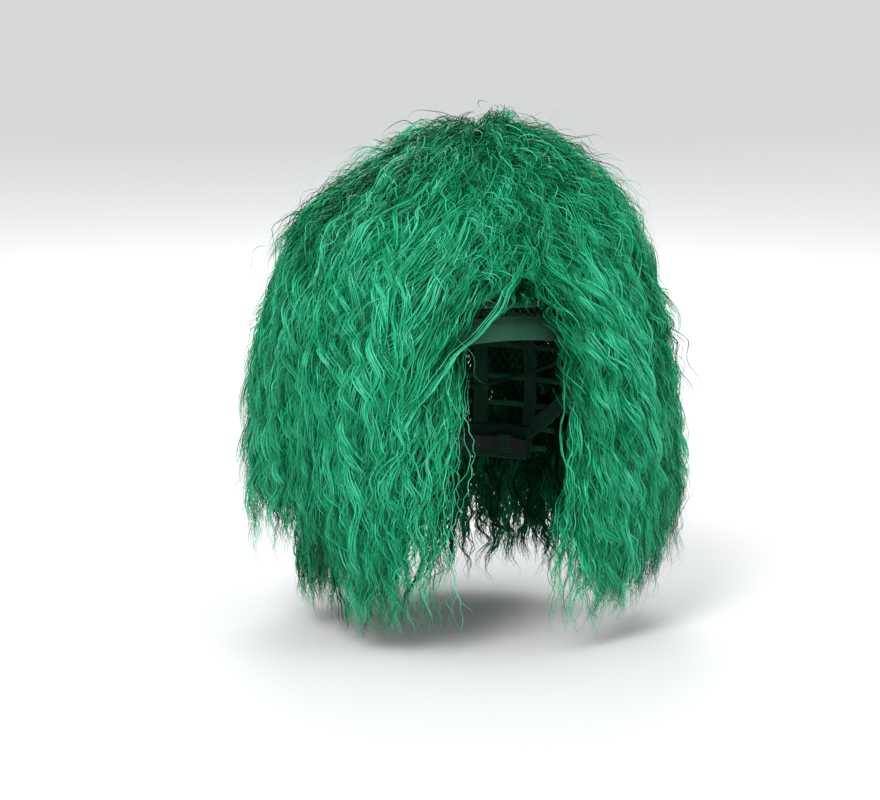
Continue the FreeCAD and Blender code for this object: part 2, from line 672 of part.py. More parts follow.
for side, tag in ((1, "left"), (-1, "right")):
    hair("crown_hair_front_" + tag, CROWN_FRONT, 0, 40, side)
    hair("crown_hair_side_" + tag, CROWN, 40, 95, side)
    hair("crown_hair_back_outer_" + tag, CROWN, 95, 138, side)
    hair("crown_hair_back_inner_" + tag, CROWN, 138, 180, side)
    hair("face_curtain_" + tag, CURTAIN, 17, 40, side)
    hair("mid_hair_side_" + tag, MID, 40, 85, side)
    hair("mid_hair_back_outer_" + tag, MID, 85, 130, side)
    hair("mid_hair_back_inner_" + tag, MID, 130, 180, side)
    hair("nape_hair_side_" + tag, NAPE, 40, 75, side)
    hair("nape_hair_back_outer_" + tag, NAPE, 75, 125, side)
    hair("nape_hair_back_inner_" + tag, NAPE, 125, 180, side)

# ---------------------------------------------------------------- check, then write
doc.recompute()
bad = [o.Name for o in doc.Objects if any(s in ("Invalid", "Error") for s in o.State)]
if bad:
    raise RuntimeError("objects that failed: %s" % bad)
for obj, label in NODES:
    shp = obj.Shape
    if shp.isNull() or not shp.isValid() or not shp.Solids or min(x.Volume for x in shp.Solids) <= 0:
        raise RuntimeError("bad shape: %s (null %s, solids %d)" % (label, shp.isNull(), len(shp.Solids)))
labels = [label for _, label in NODES]
if len(set(labels)) != len(labels) or len(labels) > 60:
    raise RuntimeError("node names repeat or are too many")

os.makedirs("parts", exist_ok=True)
total = 0.0
for obj, label in NODES:
    obj.Shape.exportStep("parts/%s.step" % label)
    total += obj.Shape.Volume
    print("%-30s solids %d  volume %.0f mm3" % (label, len(obj.Shape.Solids), obj.Shape.Volume))
print("nodes", len(labels), "total volume %.0f mm3" % total)
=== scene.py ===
import bpy
import math
import numpy as np
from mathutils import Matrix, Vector


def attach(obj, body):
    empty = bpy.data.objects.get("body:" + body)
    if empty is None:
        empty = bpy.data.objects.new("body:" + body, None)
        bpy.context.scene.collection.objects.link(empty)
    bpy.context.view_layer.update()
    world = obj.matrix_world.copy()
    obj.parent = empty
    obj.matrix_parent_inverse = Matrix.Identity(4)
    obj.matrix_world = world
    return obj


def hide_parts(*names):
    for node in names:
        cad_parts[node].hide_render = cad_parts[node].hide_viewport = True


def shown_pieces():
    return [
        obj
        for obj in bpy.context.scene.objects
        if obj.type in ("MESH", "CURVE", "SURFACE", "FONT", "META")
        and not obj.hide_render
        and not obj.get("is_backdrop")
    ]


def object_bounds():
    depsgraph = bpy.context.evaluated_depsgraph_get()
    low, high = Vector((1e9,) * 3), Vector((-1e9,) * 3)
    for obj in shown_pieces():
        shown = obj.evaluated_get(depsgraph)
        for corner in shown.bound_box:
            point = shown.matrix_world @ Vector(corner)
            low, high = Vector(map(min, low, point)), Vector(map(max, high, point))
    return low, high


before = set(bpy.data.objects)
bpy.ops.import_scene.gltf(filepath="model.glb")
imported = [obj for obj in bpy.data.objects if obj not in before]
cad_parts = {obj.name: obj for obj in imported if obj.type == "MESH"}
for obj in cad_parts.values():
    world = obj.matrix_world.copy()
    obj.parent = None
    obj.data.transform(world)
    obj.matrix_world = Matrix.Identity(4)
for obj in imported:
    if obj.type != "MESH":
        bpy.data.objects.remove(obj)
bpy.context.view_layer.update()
R = np.random.default_rng(20417)

# ------------------------------------------------------------------ head and layers
# Same numbers as the design: millimetres here, metres when a mesh is made.
CAP_A, CAP_B, CAP_C = 78.0, 98.0, 120.0
OFF = 7.2


def on_cap(z, off=OFF):
    k = math.sqrt(max(0.0, 1 - (z / (CAP_C + off)) ** 2))
    return ((CAP_B + off) * k, (CAP_A + off) * k, (CAP_B + off) * k, z)


def head_radius(off, z, az):
    """Horizontal distance from the upright axis to the head surface grown by off (arrays allowed)."""
    k = np.sqrt(np.clip(1 - (z / (CAP_C + off)) ** 2, 1e-6, None))
    ax, by = (CAP_A + off) * k, (CAP_B + off) * k
    return 1 / np.sqrt((np.sin(az) / ax) ** 2 + (np.cos(az) / by) ** 2)


TOP = CAP_C + OFF + 0.6
CROWN = [
    ((3, 3, 3, TOP), (3, 3, 3, 187)),
    (on_cap(124.5), (15, 16, 18, 183)),
    (on_cap(119), (31, 32, 38, 174)),
    (on_cap(110), (56, 56, 62, 159)),
    (on_cap(99), (76, 77, 84, 143)),
    (on_cap(78), (99, 106, 111, 113)),
    ((101, 100, 108, 69), (111, 119, 125, 81)),
    ((106, 111, 119, 45), (119, 128, 135, 50)),
    ((110, 117, 127, 15), (124, 133, 141, 15)),
    ((114, 122, 133, -22), (125, 136, 143, -28)),
    ((118, 126, 136, -54), (125, 137, 143, -58)),
    ((116, 124, 132, -86), (122, 134, 138, -90)),
    ((111, 118, 123, -114), (116, 127, 129, -118)),
]
CURTAIN = [
    (on_cap(62), (104, 96, 104, 64)),
    (on_cap(54), (108, 106, 108, 55)),
    (on_cap(30), (117, 119, 117, 28)),
    ((104.4, 85.2, 104, 0), (122, 131, 122, 0)),
    ((105, 89, 105, -40), (124, 139, 124, -45)),
    ((107, 93, 107, -85), (121, 133, 121, -88)),
    ((109, 97, 109, -112), (117, 124, 117, -118)),
    ((108, 98, 109, -136), (112, 116, 112, -140)),
]
MID = [
    (on_cap(70), (90, 77, 92, 70.5)),
    (on_cap(54), (100, 101, 109, 55)),
    (on_cap(30), (105.5, 113.5, 120, 30)),
    (on_cap(6), (108.6, 119.5, 126, 6)),
    ((105.5, 99, 113, -16), (111.3, 124.8, 131, -20)),
    ((107, 105.5, 118, -50), (121, 134, 141, -52)),
    ((108, 108.5, 120, -80), (119, 130, 136, -86)),
    ((109, 112, 122, -106), (115, 122, 128, -112)),
    ((108, 108, 118, -128), (111, 114, 121, -132)),
]
NAPE = [
    ((102.6, 86, 103.6, -4), (103.2, 87.2, 105.0, -5)),
    ((102.4, 86, 102.8, -20), (103.4, 96.5, 110.5, -18)),
    ((101, 86, 99.5, -48), (105, 103, 115.5, -50)),
    ((100, 86, 96, -80), (106, 106, 117.5, -80)),
    ((100, 88, 95, -106), (107, 109, 119.5, -108)),
    ((99, 91, 98, -131), (104, 104, 113, -134)),
    ((98, 91, 98, -143), (101, 99, 107, -146)),
]


class Layer:
    """The space of one row of wefts, from its roots down: inner and outer surface by length."""

    def __init__(self, stations, n=260):
        inner = np.array([s[0] for s in stations], float)
        outer = np.array([s[1] for s in stations], float)
        mid = 0.5 * (inner + outer)
        d = np.diff(mid[:, [1, 3]], axis=0)
        t = np.concatenate([[0], np.cumsum(np.hypot(d[:, 0], d[:, 1]))])
        self.length = t[-1]
        self.stations_t = t
        fine = np.linspace(0, t[-1], n)
        self.t = fine
        self.inner = self._smooth(t, inner, fine)
        self.outer = self._smooth(t, outer, fine)

    @staticmethod
    def _smooth(t, v, fine):
        m = np.gradient(v, t, axis=0)
        k = np.clip(np.searchsorted(t, fine, side="right") - 1, 0, len(t) - 2)
        h = (t[k + 1] - t[k])[:, None]
        u = ((fine - t[k])[:, None]) / h
        u2, u3 = u * u, u * u * u
        return ((2 * u3 - 3 * u2 + 1) * v[k] + (u3 - 2 * u2 + u) * h * m[k]
                + (-2 * u3 + 3 * u2) * v[k + 1] + (u3 - u2) * h * m[k + 1])

    def t_of_z(self, z):
        """Length along the layer at which its inner surface is at height z (roots sit there)."""
        zz = self.inner[:, 3]
        return np.interp(-np.asarray(z, float), -zz, self.t)

    def at(self, az, t, w):
        """Positions for arrays az (radians), t (mm), w (0 inner .. 1 outer)."""
        f = np.interp
        comp = []
        for i in range(4):
            a = f(t, self.t, self.inner[:, i])
            b = f(t, self.t, self.outer[:, i])
            comp.append(a + (b - a) * w)
        front, side, back, z = comp
        c, s = np.cos(az), np.sin(az)
        # front and back meet at the sides without a step
        y = np.where(c > 0, front, back)
        r = 1 / np.sqrt((s / side) ** 2 + (c / y) ** 2)
        lean = 14.0 * np.clip((z - 85) / 100, 0, 1) ** 1.4
        x = r * s + lean * np.clip(w, 0, 1)
        return np.stack([x, -r * c, z + 0 * x], axis=-1)


LAYERS = {"crown": Layer(CROWN), "curtain": Layer(CURTAIN), "mid": Layer(MID), "nape": Layer(NAPE)}

# ------------------------------------------------------------------ materials
SHADES = [   # linear colour, from the shade in the roots to the lit tips
    (0.0010, 0.030, 0.010),
    (0.0012, 0.062, 0.020),
    (0.0015, 0.105, 0.036),
    (0.0020, 0.155, 0.056),
    (0.0028, 0.210, 0.080),
    (0.0040, 0.265, 0.107),
    (0.0060, 0.330, 0.144),
    (0.0150, 0.405, 0.197),
    (0.0400, 0.495, 0.275),
]


def principled(name):
    m = bpy.data.materials.new(name)
    m.use_nodes = True
    return m, m.node_tree, m.node_tree.nodes["Principled BSDF"]


hair_mats = []
for i, rgb in enumerate(SHADES):
    m, nt, b = principled("hair_fibre_%d" % (i + 1))
    b.inputs["Base Color"].default_value = (*rgb, 1)
    b.inputs["Roughness"].default_value = 0.52 - 0.02 * i
    b.inputs["Specular IOR Level"].default_value = 0.04 + 0.025 * i
    b.inputs["Sheen Weight"].default_value = 0.02
    b.inputs["Sheen Roughness"].default_value = 0.4
    b.inputs["Sheen Tint"].default_value = (0.35, 0.85, 0.6, 1)
    hair_mats.append(m)


def mesh_object(name, verts_mm, quads, mat_index=None, mats=None, smooth=True):
    """A mesh of quads (or triangles) from numpy arrays, in millimetres."""
    me = bpy.data.meshes.new(name)
    v = (np.asarray(verts_mm, np.float32) * 0.001).reshape(-1)
    q = np.asarray(quads, np.int32)
    k = q.shape[1]
    me.vertices.add(len(v) // 3)
    me.vertices.foreach_set("co", v)
    me.loops.add(q.size)
    me.loops.foreach_set("vertex_index", q.reshape(-1))
    me.polygons.add(len(q))
    me.polygons.foreach_set("loop_start", np.arange(0, q.size, k, dtype=np.int32))
    if mats:
        for m in mats:
            me.materials.append(m)
    if mat_index is not None:
        me.polygons.foreach_set("material_index", np.asarray(mat_index, np.int32))
    if smooth:
        me.polygons.foreach_set("use_smooth", np.ones(len(q), bool))
    me.update(calc_edges=True)
    me.validate()
    ob = bpy.data.objects.new(name, me)
    bpy.context.collection.objects.link(ob)
    return ob


# ------------------------------------------------------------------ strands
def unit(v):
    return v / np.maximum(np.linalg.norm(v, axis=-1, keepdims=True), 1e-9)


def smoothstep(x):
    x = np.clip(x, 0, 1)
    return x * x * (3 - 2 * x)


def strands(layer, az_root, t_root, t_end, az_end, w_end, K, S, clump=4.0, wave=(24, 46, 1.5, 4.5),
            crimp=(8.5, 13.0, 0.5, 1.3), lift=14.0, width=0.55, tone=0.5, seed=1, spread_root=5.0, flare=0.0,
            bow=None, stray=0.06, lock=0.18, sweep=1.0, part=0):
    """Locks of crimped fibre.

    Each of the G guides is given by arrays; K fibres follow each guide.  Returns points (n, S, 3), the
    half-width vector of the ribbon (n, S, 3) and the tone of each segment (n, S - 1), which holds random
    tone together with painted light and shade."""
    g = np.random.default_rng(seed)
    G = len(az_root)
    s = np.linspace(0, 1, S)[None, :]
    L = LAYERS[layer]
    n = G * K
    rep = lambda a: np.repeat(np.asarray(a, float), K)[:, None]
    gl = lambda lo, hi: np.repeat(g.uniform(lo, hi, G), K)[:, None]
    gn = lambda sd: np.repeat(g.normal(0, sd, G), K)[:, None]
    azr, azt = rep(az_root), rep(az_end)
    tr, te, we = rep(t_root), rep(t_end), rep(w_end)
    # fibres of a lock end at different lengths and leave the weft side by side
    te = te - np.abs(g.normal(0, 11.0, (n, 1))) * (te > tr + 30)
    te = np.maximum(te, tr + 12)
    t = tr + (te - tr) * s
    run = t - tr                                            # mm from the root
    high = np.clip((60.0 - tr) / 60.0, 0, 1)               # roots at the very top stand up before they fall
    tau = lift * (1 - 0.62 * high) * g.uniform(0.7, 1.35, (n, 1))
    w = we * (1 - np.exp(-run / tau)) + g.normal(0, 0.05, (n, 1)) * np.minimum(1, run / 30)
    drift = smoothstep(run / (sweep * np.maximum(te - tr, 60.0)))
    az = azr + (azt - azr) * drift
    if bow is not None:
        az = az + rep(bow) * np.sin(math.pi * np.clip(run / np.maximum(te - tr, 60.0), 0, 1))
    P = L.at(az, t, w)
    En = unit(L.at(az, t, w + 0.05) - L.at(az, t, w - 0.05))
    Et = unit(L.at(az + 0.004, t, w) - L.at(az - 0.004, t, w))
    # lock: fibres round their guide, drawn together toward the tip
    beta = g.uniform(0, 2 * math.pi, (n, 1)) + g.normal(0, 1.0, (n, 1)) * s
    rad = g.uniform(0.05, 1.0, (n, 1)) ** 0.6
    loose = (g.random((n, 1)) < stray) * g.uniform(0.8, 2.2, (n, 1))
    body = clump * gl(0.55, 1.3) * (1 - 0.66 * smoothstep((s - 0.1) / 0.75)) * (1 + 0.25 * np.sin(run / gl(14, 30) + gl(0, 6)))
    rc = (rad + loose) * (spread_root * np.exp(-run / 20.0) + body * (1 - np.exp(-run / 20.0)))
    ring_n = np.cos(beta) * 0.62 * np.minimum(1, run / 12.0)
    off = (ring_n * rc)[..., None] * En + (np.sin(beta) * rc)[..., None] * Et
    # the lock's own wave, shared by its fibres
    lam = gl(wave[0], wave[1])
    amp = wave[2] + (wave[3] - wave[2]) * gl(0, 1) ** 1.6
    ph = gl(0, 2 * math.pi) + g.normal(0, 0.20, (n, 1))
    plane = gl(-0.9, 0.9) + g.normal(0, 0.2, (n, 1))
    grow = smoothstep(run / 26.0)
    swell = 1 + 0.45 * np.sin(run / gl(22, 60) + gl(0, 6.28))
    warp = 0.8 * np.sin(run / gl(30, 60) + gl(0, 6.28))
    a1 = np.sin(2 * math.pi * run / lam + ph + warp)
    a2 = np.cos(2 * math.pi * run / lam + ph + warp)
    off = off + (amp * grow * swell * np.cos(plane) * a1)[..., None] * Et
    off = off + (amp * grow * swell * (0.55 * a2 + 0.3 * np.sin(plane) * a1))[..., None] * En
    off = off + (gn(6.5) * np.sin(run / gl(24, 46) + gl(0, 3.1)) * smoothstep(run / 60.0))[..., None] * Et
    # crimp: mostly in step inside a lock
    l2 = gl(crimp[0], crimp[1]) * (1 + g.normal(0, 0.02, (n, 1)))
    c2 = gl(crimp[2], crimp[3]) * g.uniform(0.6, 1.3, (n, 1)) * (0.7 + 0.5 * s)
    p2 = gl(0, 6.28) + g.normal(0, 0.45, (n, 1))
    q2 = gl(0, 6.28) + g.normal(0, 0.45, (n, 1))
    k1 = np.sin(2 * math.pi * run / l2 + p2)
    k2 = np.sin(2 * math.pi * run / (l2 * 1.13) + q2)
    off = off + (c2 * k1 * grow)[..., None] * Et + (c2 * 0.8 * k2 * grow)[..., None] * En
    # ends that stand off
    if flare:
        fl = (np.abs(gn(flare)) + np.abs(g.normal(0, flare * 0.5, (n, 1)))) * smoothstep((s - 0.5) / 0.5)
        sw = (gn(flare * 0.8) + g.normal(0, flare * 0.5, (n, 1))) * smoothstep((s - 0.45) / 0.55)
        off = off + fl[..., None] * En + sw[..., None] * Et
    P = P + off
    if part:
        # most locks keep to their own side of the face opening; a few hang across it
        edge = np.interp(P[..., 2], [-140, -90, -62, -20, 42, 62, 80], [5, 7, 9, 13, 7, -4, -40] if part > 0
                         else [31, 34, 38, 33, 23, 6, -40])
        edge = edge + np.abs(gn(2.2)) + g.normal(0, 0.5, (n, 1)) + 1.6 * np.sin(P[..., 2] / gl(9, 15) + gl(0, 6.28))
        d = part * np.degrees(np.arctan2(P[..., 0], -P[..., 1])) - edge
        k = 2.2
        held = edge + np.where(d > 25, d, k * np.log1p(np.exp(np.clip(d / k, -30, 12))))
        keep = np.repeat(g.random(G) > 0.10, K)[:, None] & (P[..., 1] < -20)
        a_new = D(part * np.where(keep, held, d + edge))
        rr = np.hypot(P[..., 0], P[..., 1])
        P = np.stack([rr * np.sin(a_new), -rr * np.cos(a_new), P[..., 2]], -1)
    # never inside the cap
    r = np.hypot(P[..., 0], P[..., 1])
    azp = np.arctan2(P[..., 0], -P[..., 1])
    rmin = head_radius(5.6, np.clip(P[..., 2], -50, 124.9), azp)
    rmin = np.where(P[..., 2] > -52, rmin, 82.0)
    tabs = (P[..., 2] < 6) & (P[..., 2] > -50) & (np.abs(P[..., 1] + 18) < 30)      # room for the folding ear tabs
    rmin = np.where(tabs, np.maximum(rmin, np.hypot(88.0, P[..., 1])), rmin)
    need = np.maximum(r, rmin) / np.maximum(r, 1e-6)
    near = (P[..., 2] < 118)
    P[..., 0] = np.where(near, P[..., 0] * need, P[..., 0])
    P[..., 1] = np.where(near, P[..., 1] * need, P[..., 1])
    P[..., 2] = np.where(~near & (r < 40), np.maximum(P[..., 2], 124.5), P[..., 2])
    P[..., 2] = np.maximum(P[..., 2], -150.0)
    # ribbon across the fibre
    turn = g.normal(0, 0.5, (n, 1)) + gn(0.3) + 0.5 * np.sin(run / gl(25, 60) + gl(0, 6.28))
    T = unit(np.gradient(P, axis=1))
    side = unit(np.cross(T, En))
    up = np.cross(side, T)
    A = np.cos(turn)[..., None] * side + np.sin(turn)[..., None] * up
    ww = width * g.uniform(0.7, 1.35, (n, 1)) * np.clip((1.02 - s) / 0.25, 0.14, 1)
    half = A * (0.5 * ww)[..., None]
    mid = lambda v: 0.5 * (v[:, 1:] + v[:, :-1])
    sm, runm = mid(s), mid(run)
    # painted light where the wave and crimp bulge outward and on the outer side of the lock, painted shade in the
    # troughs and inside the lock
    crest_light_shade = mid(0.6 * a2 + 0.4 * k2 + 0.9 * ring_n * rad)
    tn = tone + gn(lock) + g.normal(0, 0.07, (n, 1))
    # painted shade darkens the roots and painted light brightens the tips; the crest term adds its painted light and
    # shade, the last term is random tone
    tn = tn - 0.30 * np.exp(-runm / 20.0) + 0.08 * sm + 0.17 * crest_light_shade + g.normal(0, 0.02, (n, S - 1))
    # painted shade: fibres nearer the cap are darker, those on the outside lighter; the sine term is tone that differs
    # from place to place
    tn = tn + 0.16 * (mid(w) - 0.78) + 0.06 * np.sin(mid(az) * 6.1 + 1.3) * np.sin(mid(P[..., 2]) / 24.0 + mid(az) * 3.0)
    # painted light and shade by height: a little lighter below 80 mm, darker towards the top of the crown
    tn = tn + 0.035 - 0.12 * smoothstep((mid(P[..., 2]) - 80) / 90)
    return P, half, tn


def tuft(n_locks, K, S, seed, side, tone=0.44):
    """Short locks that stand up from the closing coil and fall over the crown in every direction."""
    g = np.random.default_rng(seed)
    n = n_locks * K
    gl = lambda lo, hi: np.repeat(g.uniform(lo, hi, n_locks), K)[:, None]
    gn = lambda sd: np.repeat(g.normal(0, sd, n_locks), K)[:, None]
    s = np.linspace(0, 1, S)[None, :]
    a0, r0 = gl(0, 2 * math.pi), gl(3, 34)
    a1 = a0 + gn(1.3)
    reach_ = gl(14, 62)
    x0, y0 = r0 * np.cos(a0) * 0.9, r0 * np.sin(a0)
    z0 = 127.0 - 0.004 * r0 ** 2
    x2, y2 = x0 + reach_ * np.cos(a1), y0 + reach_ * np.sin(a1)
    over = np.hypot(x2, y2)
    z2 = np.interp(over, [0, 20, 38, 60, 80, 95], [184, 181, 171, 156, 140, 120]) * gl(0.95, 1.01)
    z1 = np.maximum(z2, 172) + gl(0, 9)
    x1, y1 = x0 + gn(5) + 6, y0 + gn(5)
    B = lambda p, q, r: (1 - s) ** 2 * p + 2 * s * (1 - s) * q + s * s * r
    P = np.stack([B(x0, x1, x2), B(y0, y1, y2), B(z0, z1, z2)], -1)
    T = unit(np.gradient(P, axis=1))
    E1 = unit(np.cross(T, np.array([0.3, 0.2, 1.0])))
    E2 = np.cross(T, E1)
    beta, rad = g.uniform(0, 6.28, (n, 1)), g.uniform(0.05, 1, (n, 1)) ** 0.6
    rc = rad * (4.2 - 2.4 * s)
    P = P + (np.cos(beta) * rc)[..., None] * E1 + (np.sin(beta) * rc)[..., None] * E2
    run = np.linalg.norm(np.diff(P, axis=1), axis=-1).cumsum(1)
    run = np.concatenate([np.zeros((n, 1)), run], 1)
    grow = smoothstep(run / 22)
    k1 = np.sin(2 * math.pi * run / gl(15, 27) + gl(0, 6.28) + g.normal(0, 0.2, (n, 1)))
    k2 = np.cos(2 * math.pi * run / gl(15, 27) + gl(0, 6.28) + g.normal(0, 0.2, (n, 1)))
    am = gl(1.5, 4.0)
    P = P + (am * k1 * grow)[..., None] * E1 + (am * 0.8 * k2 * grow)[..., None] * E2
    P[..., 2] = np.clip(P[..., 2], 124.6, 193.0)
    turn = g.normal(0, 0.6, (n, 1))
    A = np.cos(turn)[..., None] * E1 + np.sin(turn)[..., None] * E2
    half = A * (0.5 * 0.55 * g.uniform(0.7, 1.3, (n, 1)) * np.clip((1.02 - s) / 0.25, 0.14, 1))[..., None]
    m = lambda v: 0.5 * (v[:, 1:] + v[:, :-1])
    # painted shade darkens the roots; the k2 term is painted light and shade rising and falling along each wave
    tn = tone + gn(0.13) + g.normal(0, 0.07, (n, 1)) - 0.30 * np.exp(-m(run) / 24.0) + 0.12 * m(k2)
    return P, half, tn


def ribbons(name, parts, nodes):
    """One mesh of many ribbons; parts = list of (P, half, tone)."""
    vs, qs, ms = [], [], []
    base = 0
    for P, half, tn in parts:
        n, S, _ = P.shape
        v = np.empty((n, S, 2, 3), np.float32)
        v[:, :, 0] = P - half
        v[:, :, 1] = P + half
        idx = (np.arange(n * S * 2).reshape(n, S, 2) + base)
        q = np.stack([idx[:, :-1, 0], idx[:, :-1, 1], idx[:, 1:, 1], idx[:, 1:, 0]], axis=-1).reshape(-1, 4)
        vs.append(v.reshape(-1, 3))
        qs.append(q)
        k = np.clip(np.floor(tn * len(SHADES)), 0, len(SHADES) - 1).astype(np.int32)
        ms.append(k.reshape(-1))
        base += n * S * 2
    ob = mesh_object(name, np.concatenate(vs), np.concatenate(qs), np.concatenate(ms), hair_mats)
    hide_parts(*nodes)
    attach(ob, "wig")
    return ob


D = np.radians
DENSE = 1.0


def count(k):
    return max(3, int(k * DENSE))


def rows_for(layer, zs, n, g):
    """Roots spread over weft rows at heights zs, given as lengths along the layer."""
    z = np.asarray(zs)[g.integers(0, len(zs), n)] + g.normal(0, 1.0, n)
    return LAYERS[layer].t_of_z(z)


SEED = 100
FINE = (11.0, 18.0, 0.25, 0.95)
for side, tag in ((1, "left"), (-1, "right")):
    # picture-left hair of the sample streams outward, fine and crimped; the other side hangs in larger waves
    big = (26, 50, 2.2, 6.0) if side > 0 else (24, 44, 1.4, 4.2)
    # ---- crown wefts: over the top, to the sides and the back
    for label, a0, a1, G in (("crown_hair_side_", 38, 96, 92), ("crown_hair_back_outer_", 94, 139, 62),
                             ("crown_hair_back_inner_", 137, 180, 58)):
        SEED += 7
        g = np.random.default_rng(SEED)
        L = LAYERS["crown"]
        full = L.length
        node = label + tag
        # long locks from the crown to the tips
        n = count(G)
        az = side * D(g.uniform(a0, a1, n))
        tr = np.where(g.random(n) < 0.62, g.uniform(2, 60, n), rows_for("crown", [90, 100, 110, 118], n, g))
        te = full * (0.74 + 0.24 * g.random(n) ** 0.8)
        if side < 0 and a0 < 100:
            te = te - full * 0.17 * np.clip(1 - np.abs(np.abs(np.degrees(az)) - 82) / 56, 0, 1)
        stream = D(np.clip(100 - np.abs(np.degrees(az)), 0, 60)) * (0.34 if side < 0 else 0.10)
        aze = az + D(g.normal(0, 9, n)) + side * stream
        long_locks = strands("crown", az, tr, te, aze, g.uniform(0.45, 1.0, n), 11, 84 if a0 < 90 else 70, seed=SEED + 1, clump=3.8,
                             wave=big, crimp=FINE, flare=4.5, tone=0.42)
        ribbons("strands_" + node, [long_locks], [node])
        parts = []
        # close-lying hair over the cap, so that the net doesn't show between the locks; its low tone is painted shade
        # under the locks
        n = count(62)
        az = side * D(g.uniform(a0 - 1, a1 + (5 if a1 > 170 else 1), n))
        tr = g.uniform(2, L.t_of_z(74), n)
        parts.append(strands("crown", az, tr, tr + g.uniform(45, 90, n), az + D(g.normal(0, 6, n)), g.uniform(0.06, 0.5, n),
                             9, 22, seed=SEED + 5, clump=5.5, flare=0.0, tone=0.24, width=0.9, spread_root=7.0))
        # thick S-waved locks that lie on top, their high tone painted light on the outermost hair
        n = count(16)
        az = side * D(g.uniform(a0, a1, n))
        tr = g.uniform(12, 110, n)
        te = np.minimum(full * 0.97, tr + g.uniform(120, 230, n))
        parts.append(strands("crown", az, tr, te, az + D(g.normal(0, 8, n)) + side * D(8 if side < 0 else 2), g.uniform(0.98, 1.08, n),
                             18, 64, seed=SEED + 6, clump=4.4, wave=(28, 46, 3.5, 7.5), crimp=(12, 18, 0.1, 0.5),
                             flare=4.0, tone=0.60, lock=0.08, width=0.6))
        # middle locks, wavier, that end on the sides
        n = count(G * 0.8)
        az = side * D(g.uniform(a0, a1, n))
        tr = rows_for("crown", [72, 82, 90, 105], n, g)
        te = np.minimum(full * 0.96, tr + g.uniform(90, 200, n))
        stream = D(np.clip(100 - np.abs(np.degrees(az)), 0, 60)) * (0.30 if side < 0 else 0.08)
        parts.append(strands("crown", az, tr, te, az + D(g.normal(0, 10, n)) + side * stream, g.uniform(0.75, 1.06, n), 9, 62,
                             seed=SEED + 2, clump=3.8, wave=(20, 40, 1.5, 5.0), crimp=FINE, flare=4.5, tone=0.50))
        # short curls of the layered crown
        n = count(G * 0.7)
        az = side * D(g.uniform(a0, a1, n))
        tr = g.uniform(3, 100, n)
        te = tr + g.uniform(30, 95, n)
        parts.append(strands("crown", az, tr, te, az + D(g.normal(0, 12, n)), g.uniform(0.85, 1.1, n), 8, 40,
                             seed=SEED + 3, clump=3.0, wave=(15, 26, 2.2, 5.5), flare=4.5, tone=0.52, lift=12))
        # single fly-away fibres
        n = count(G * 1.5)
        az = side * D(g.uniform(a0, a1, n))
        tr = g.uniform(3, 170, n)
        te = np.minimum(full, tr + g.uniform(40, 140, n))
        parts.append(strands("crown", az, tr, te, az + D(g.normal(0, 10, n)), g.uniform(0.95, 1.2, n), 1, 48,
                             seed=SEED + 4, clump=0.5, wave=(15, 36, 1.5, 5.0), flare=6.0, tone=0.56, width=0.42))
        ribbons("tresses_" + node, parts, [node])

    # ---- crown front: from the crown toward the forehead, parted, sweeping to its own side
    SEED += 7
    g = np.random.default_rng(SEED)
    L = LAYERS["crown"]
    full = L.length
    node = "crown_hair_front_" + tag
    n = count(104)
    az = side * D(-5 + 45 * g.random(n) ** 0.9)
    tr = np.where(g.random(n) < 0.62, g.uniform(2, 70, n), rows_for("crown", [80, 95, 108, 118], n, g))
    if side > 0:
        out = np.clip(17 + 0.76 * np.abs(np.degrees(az)) + g.normal(0, 3.0, n), 16, 54)
    else:
        out = np.clip(39 + 0.88 * np.abs(np.degrees(az)) + g.normal(0, 3.5, n), 37, 76)
    te = full * (0.60 + 0.38 * g.random(n))
    ribbons("strands_" + node, [strands("crown", az, tr, te, side * D(out), g.uniform(0.45, 1.0, n), 11, 84,
                                        seed=SEED + 1, clump=4.4, wave=(28, 46, 2.4, 6.2) if side > 0 else big,
                                        crimp=FINE, flare=2.5, tone=0.46, sweep=0.7, part=side)], [node])
    parts = []
    # close-lying hair over the cap, its low tone painted shade under the locks
    n = count(76)
    az = side * D(g.uniform(-6, 41, n))
    tr = g.uniform(2, L.t_of_z(76), n)
    te = np.minimum(tr + g.uniform(45, 80, n), L.t_of_z(62))
    parts.append(strands("crown", az, tr, np.maximum(te, tr + 20), az + D(g.normal(0, 5, n)), g.uniform(0.06, 0.5, n),
                         9, 22, seed=SEED + 5, clump=5.5, flare=0.0, tone=0.24, width=0.9, spread_root=7.0))
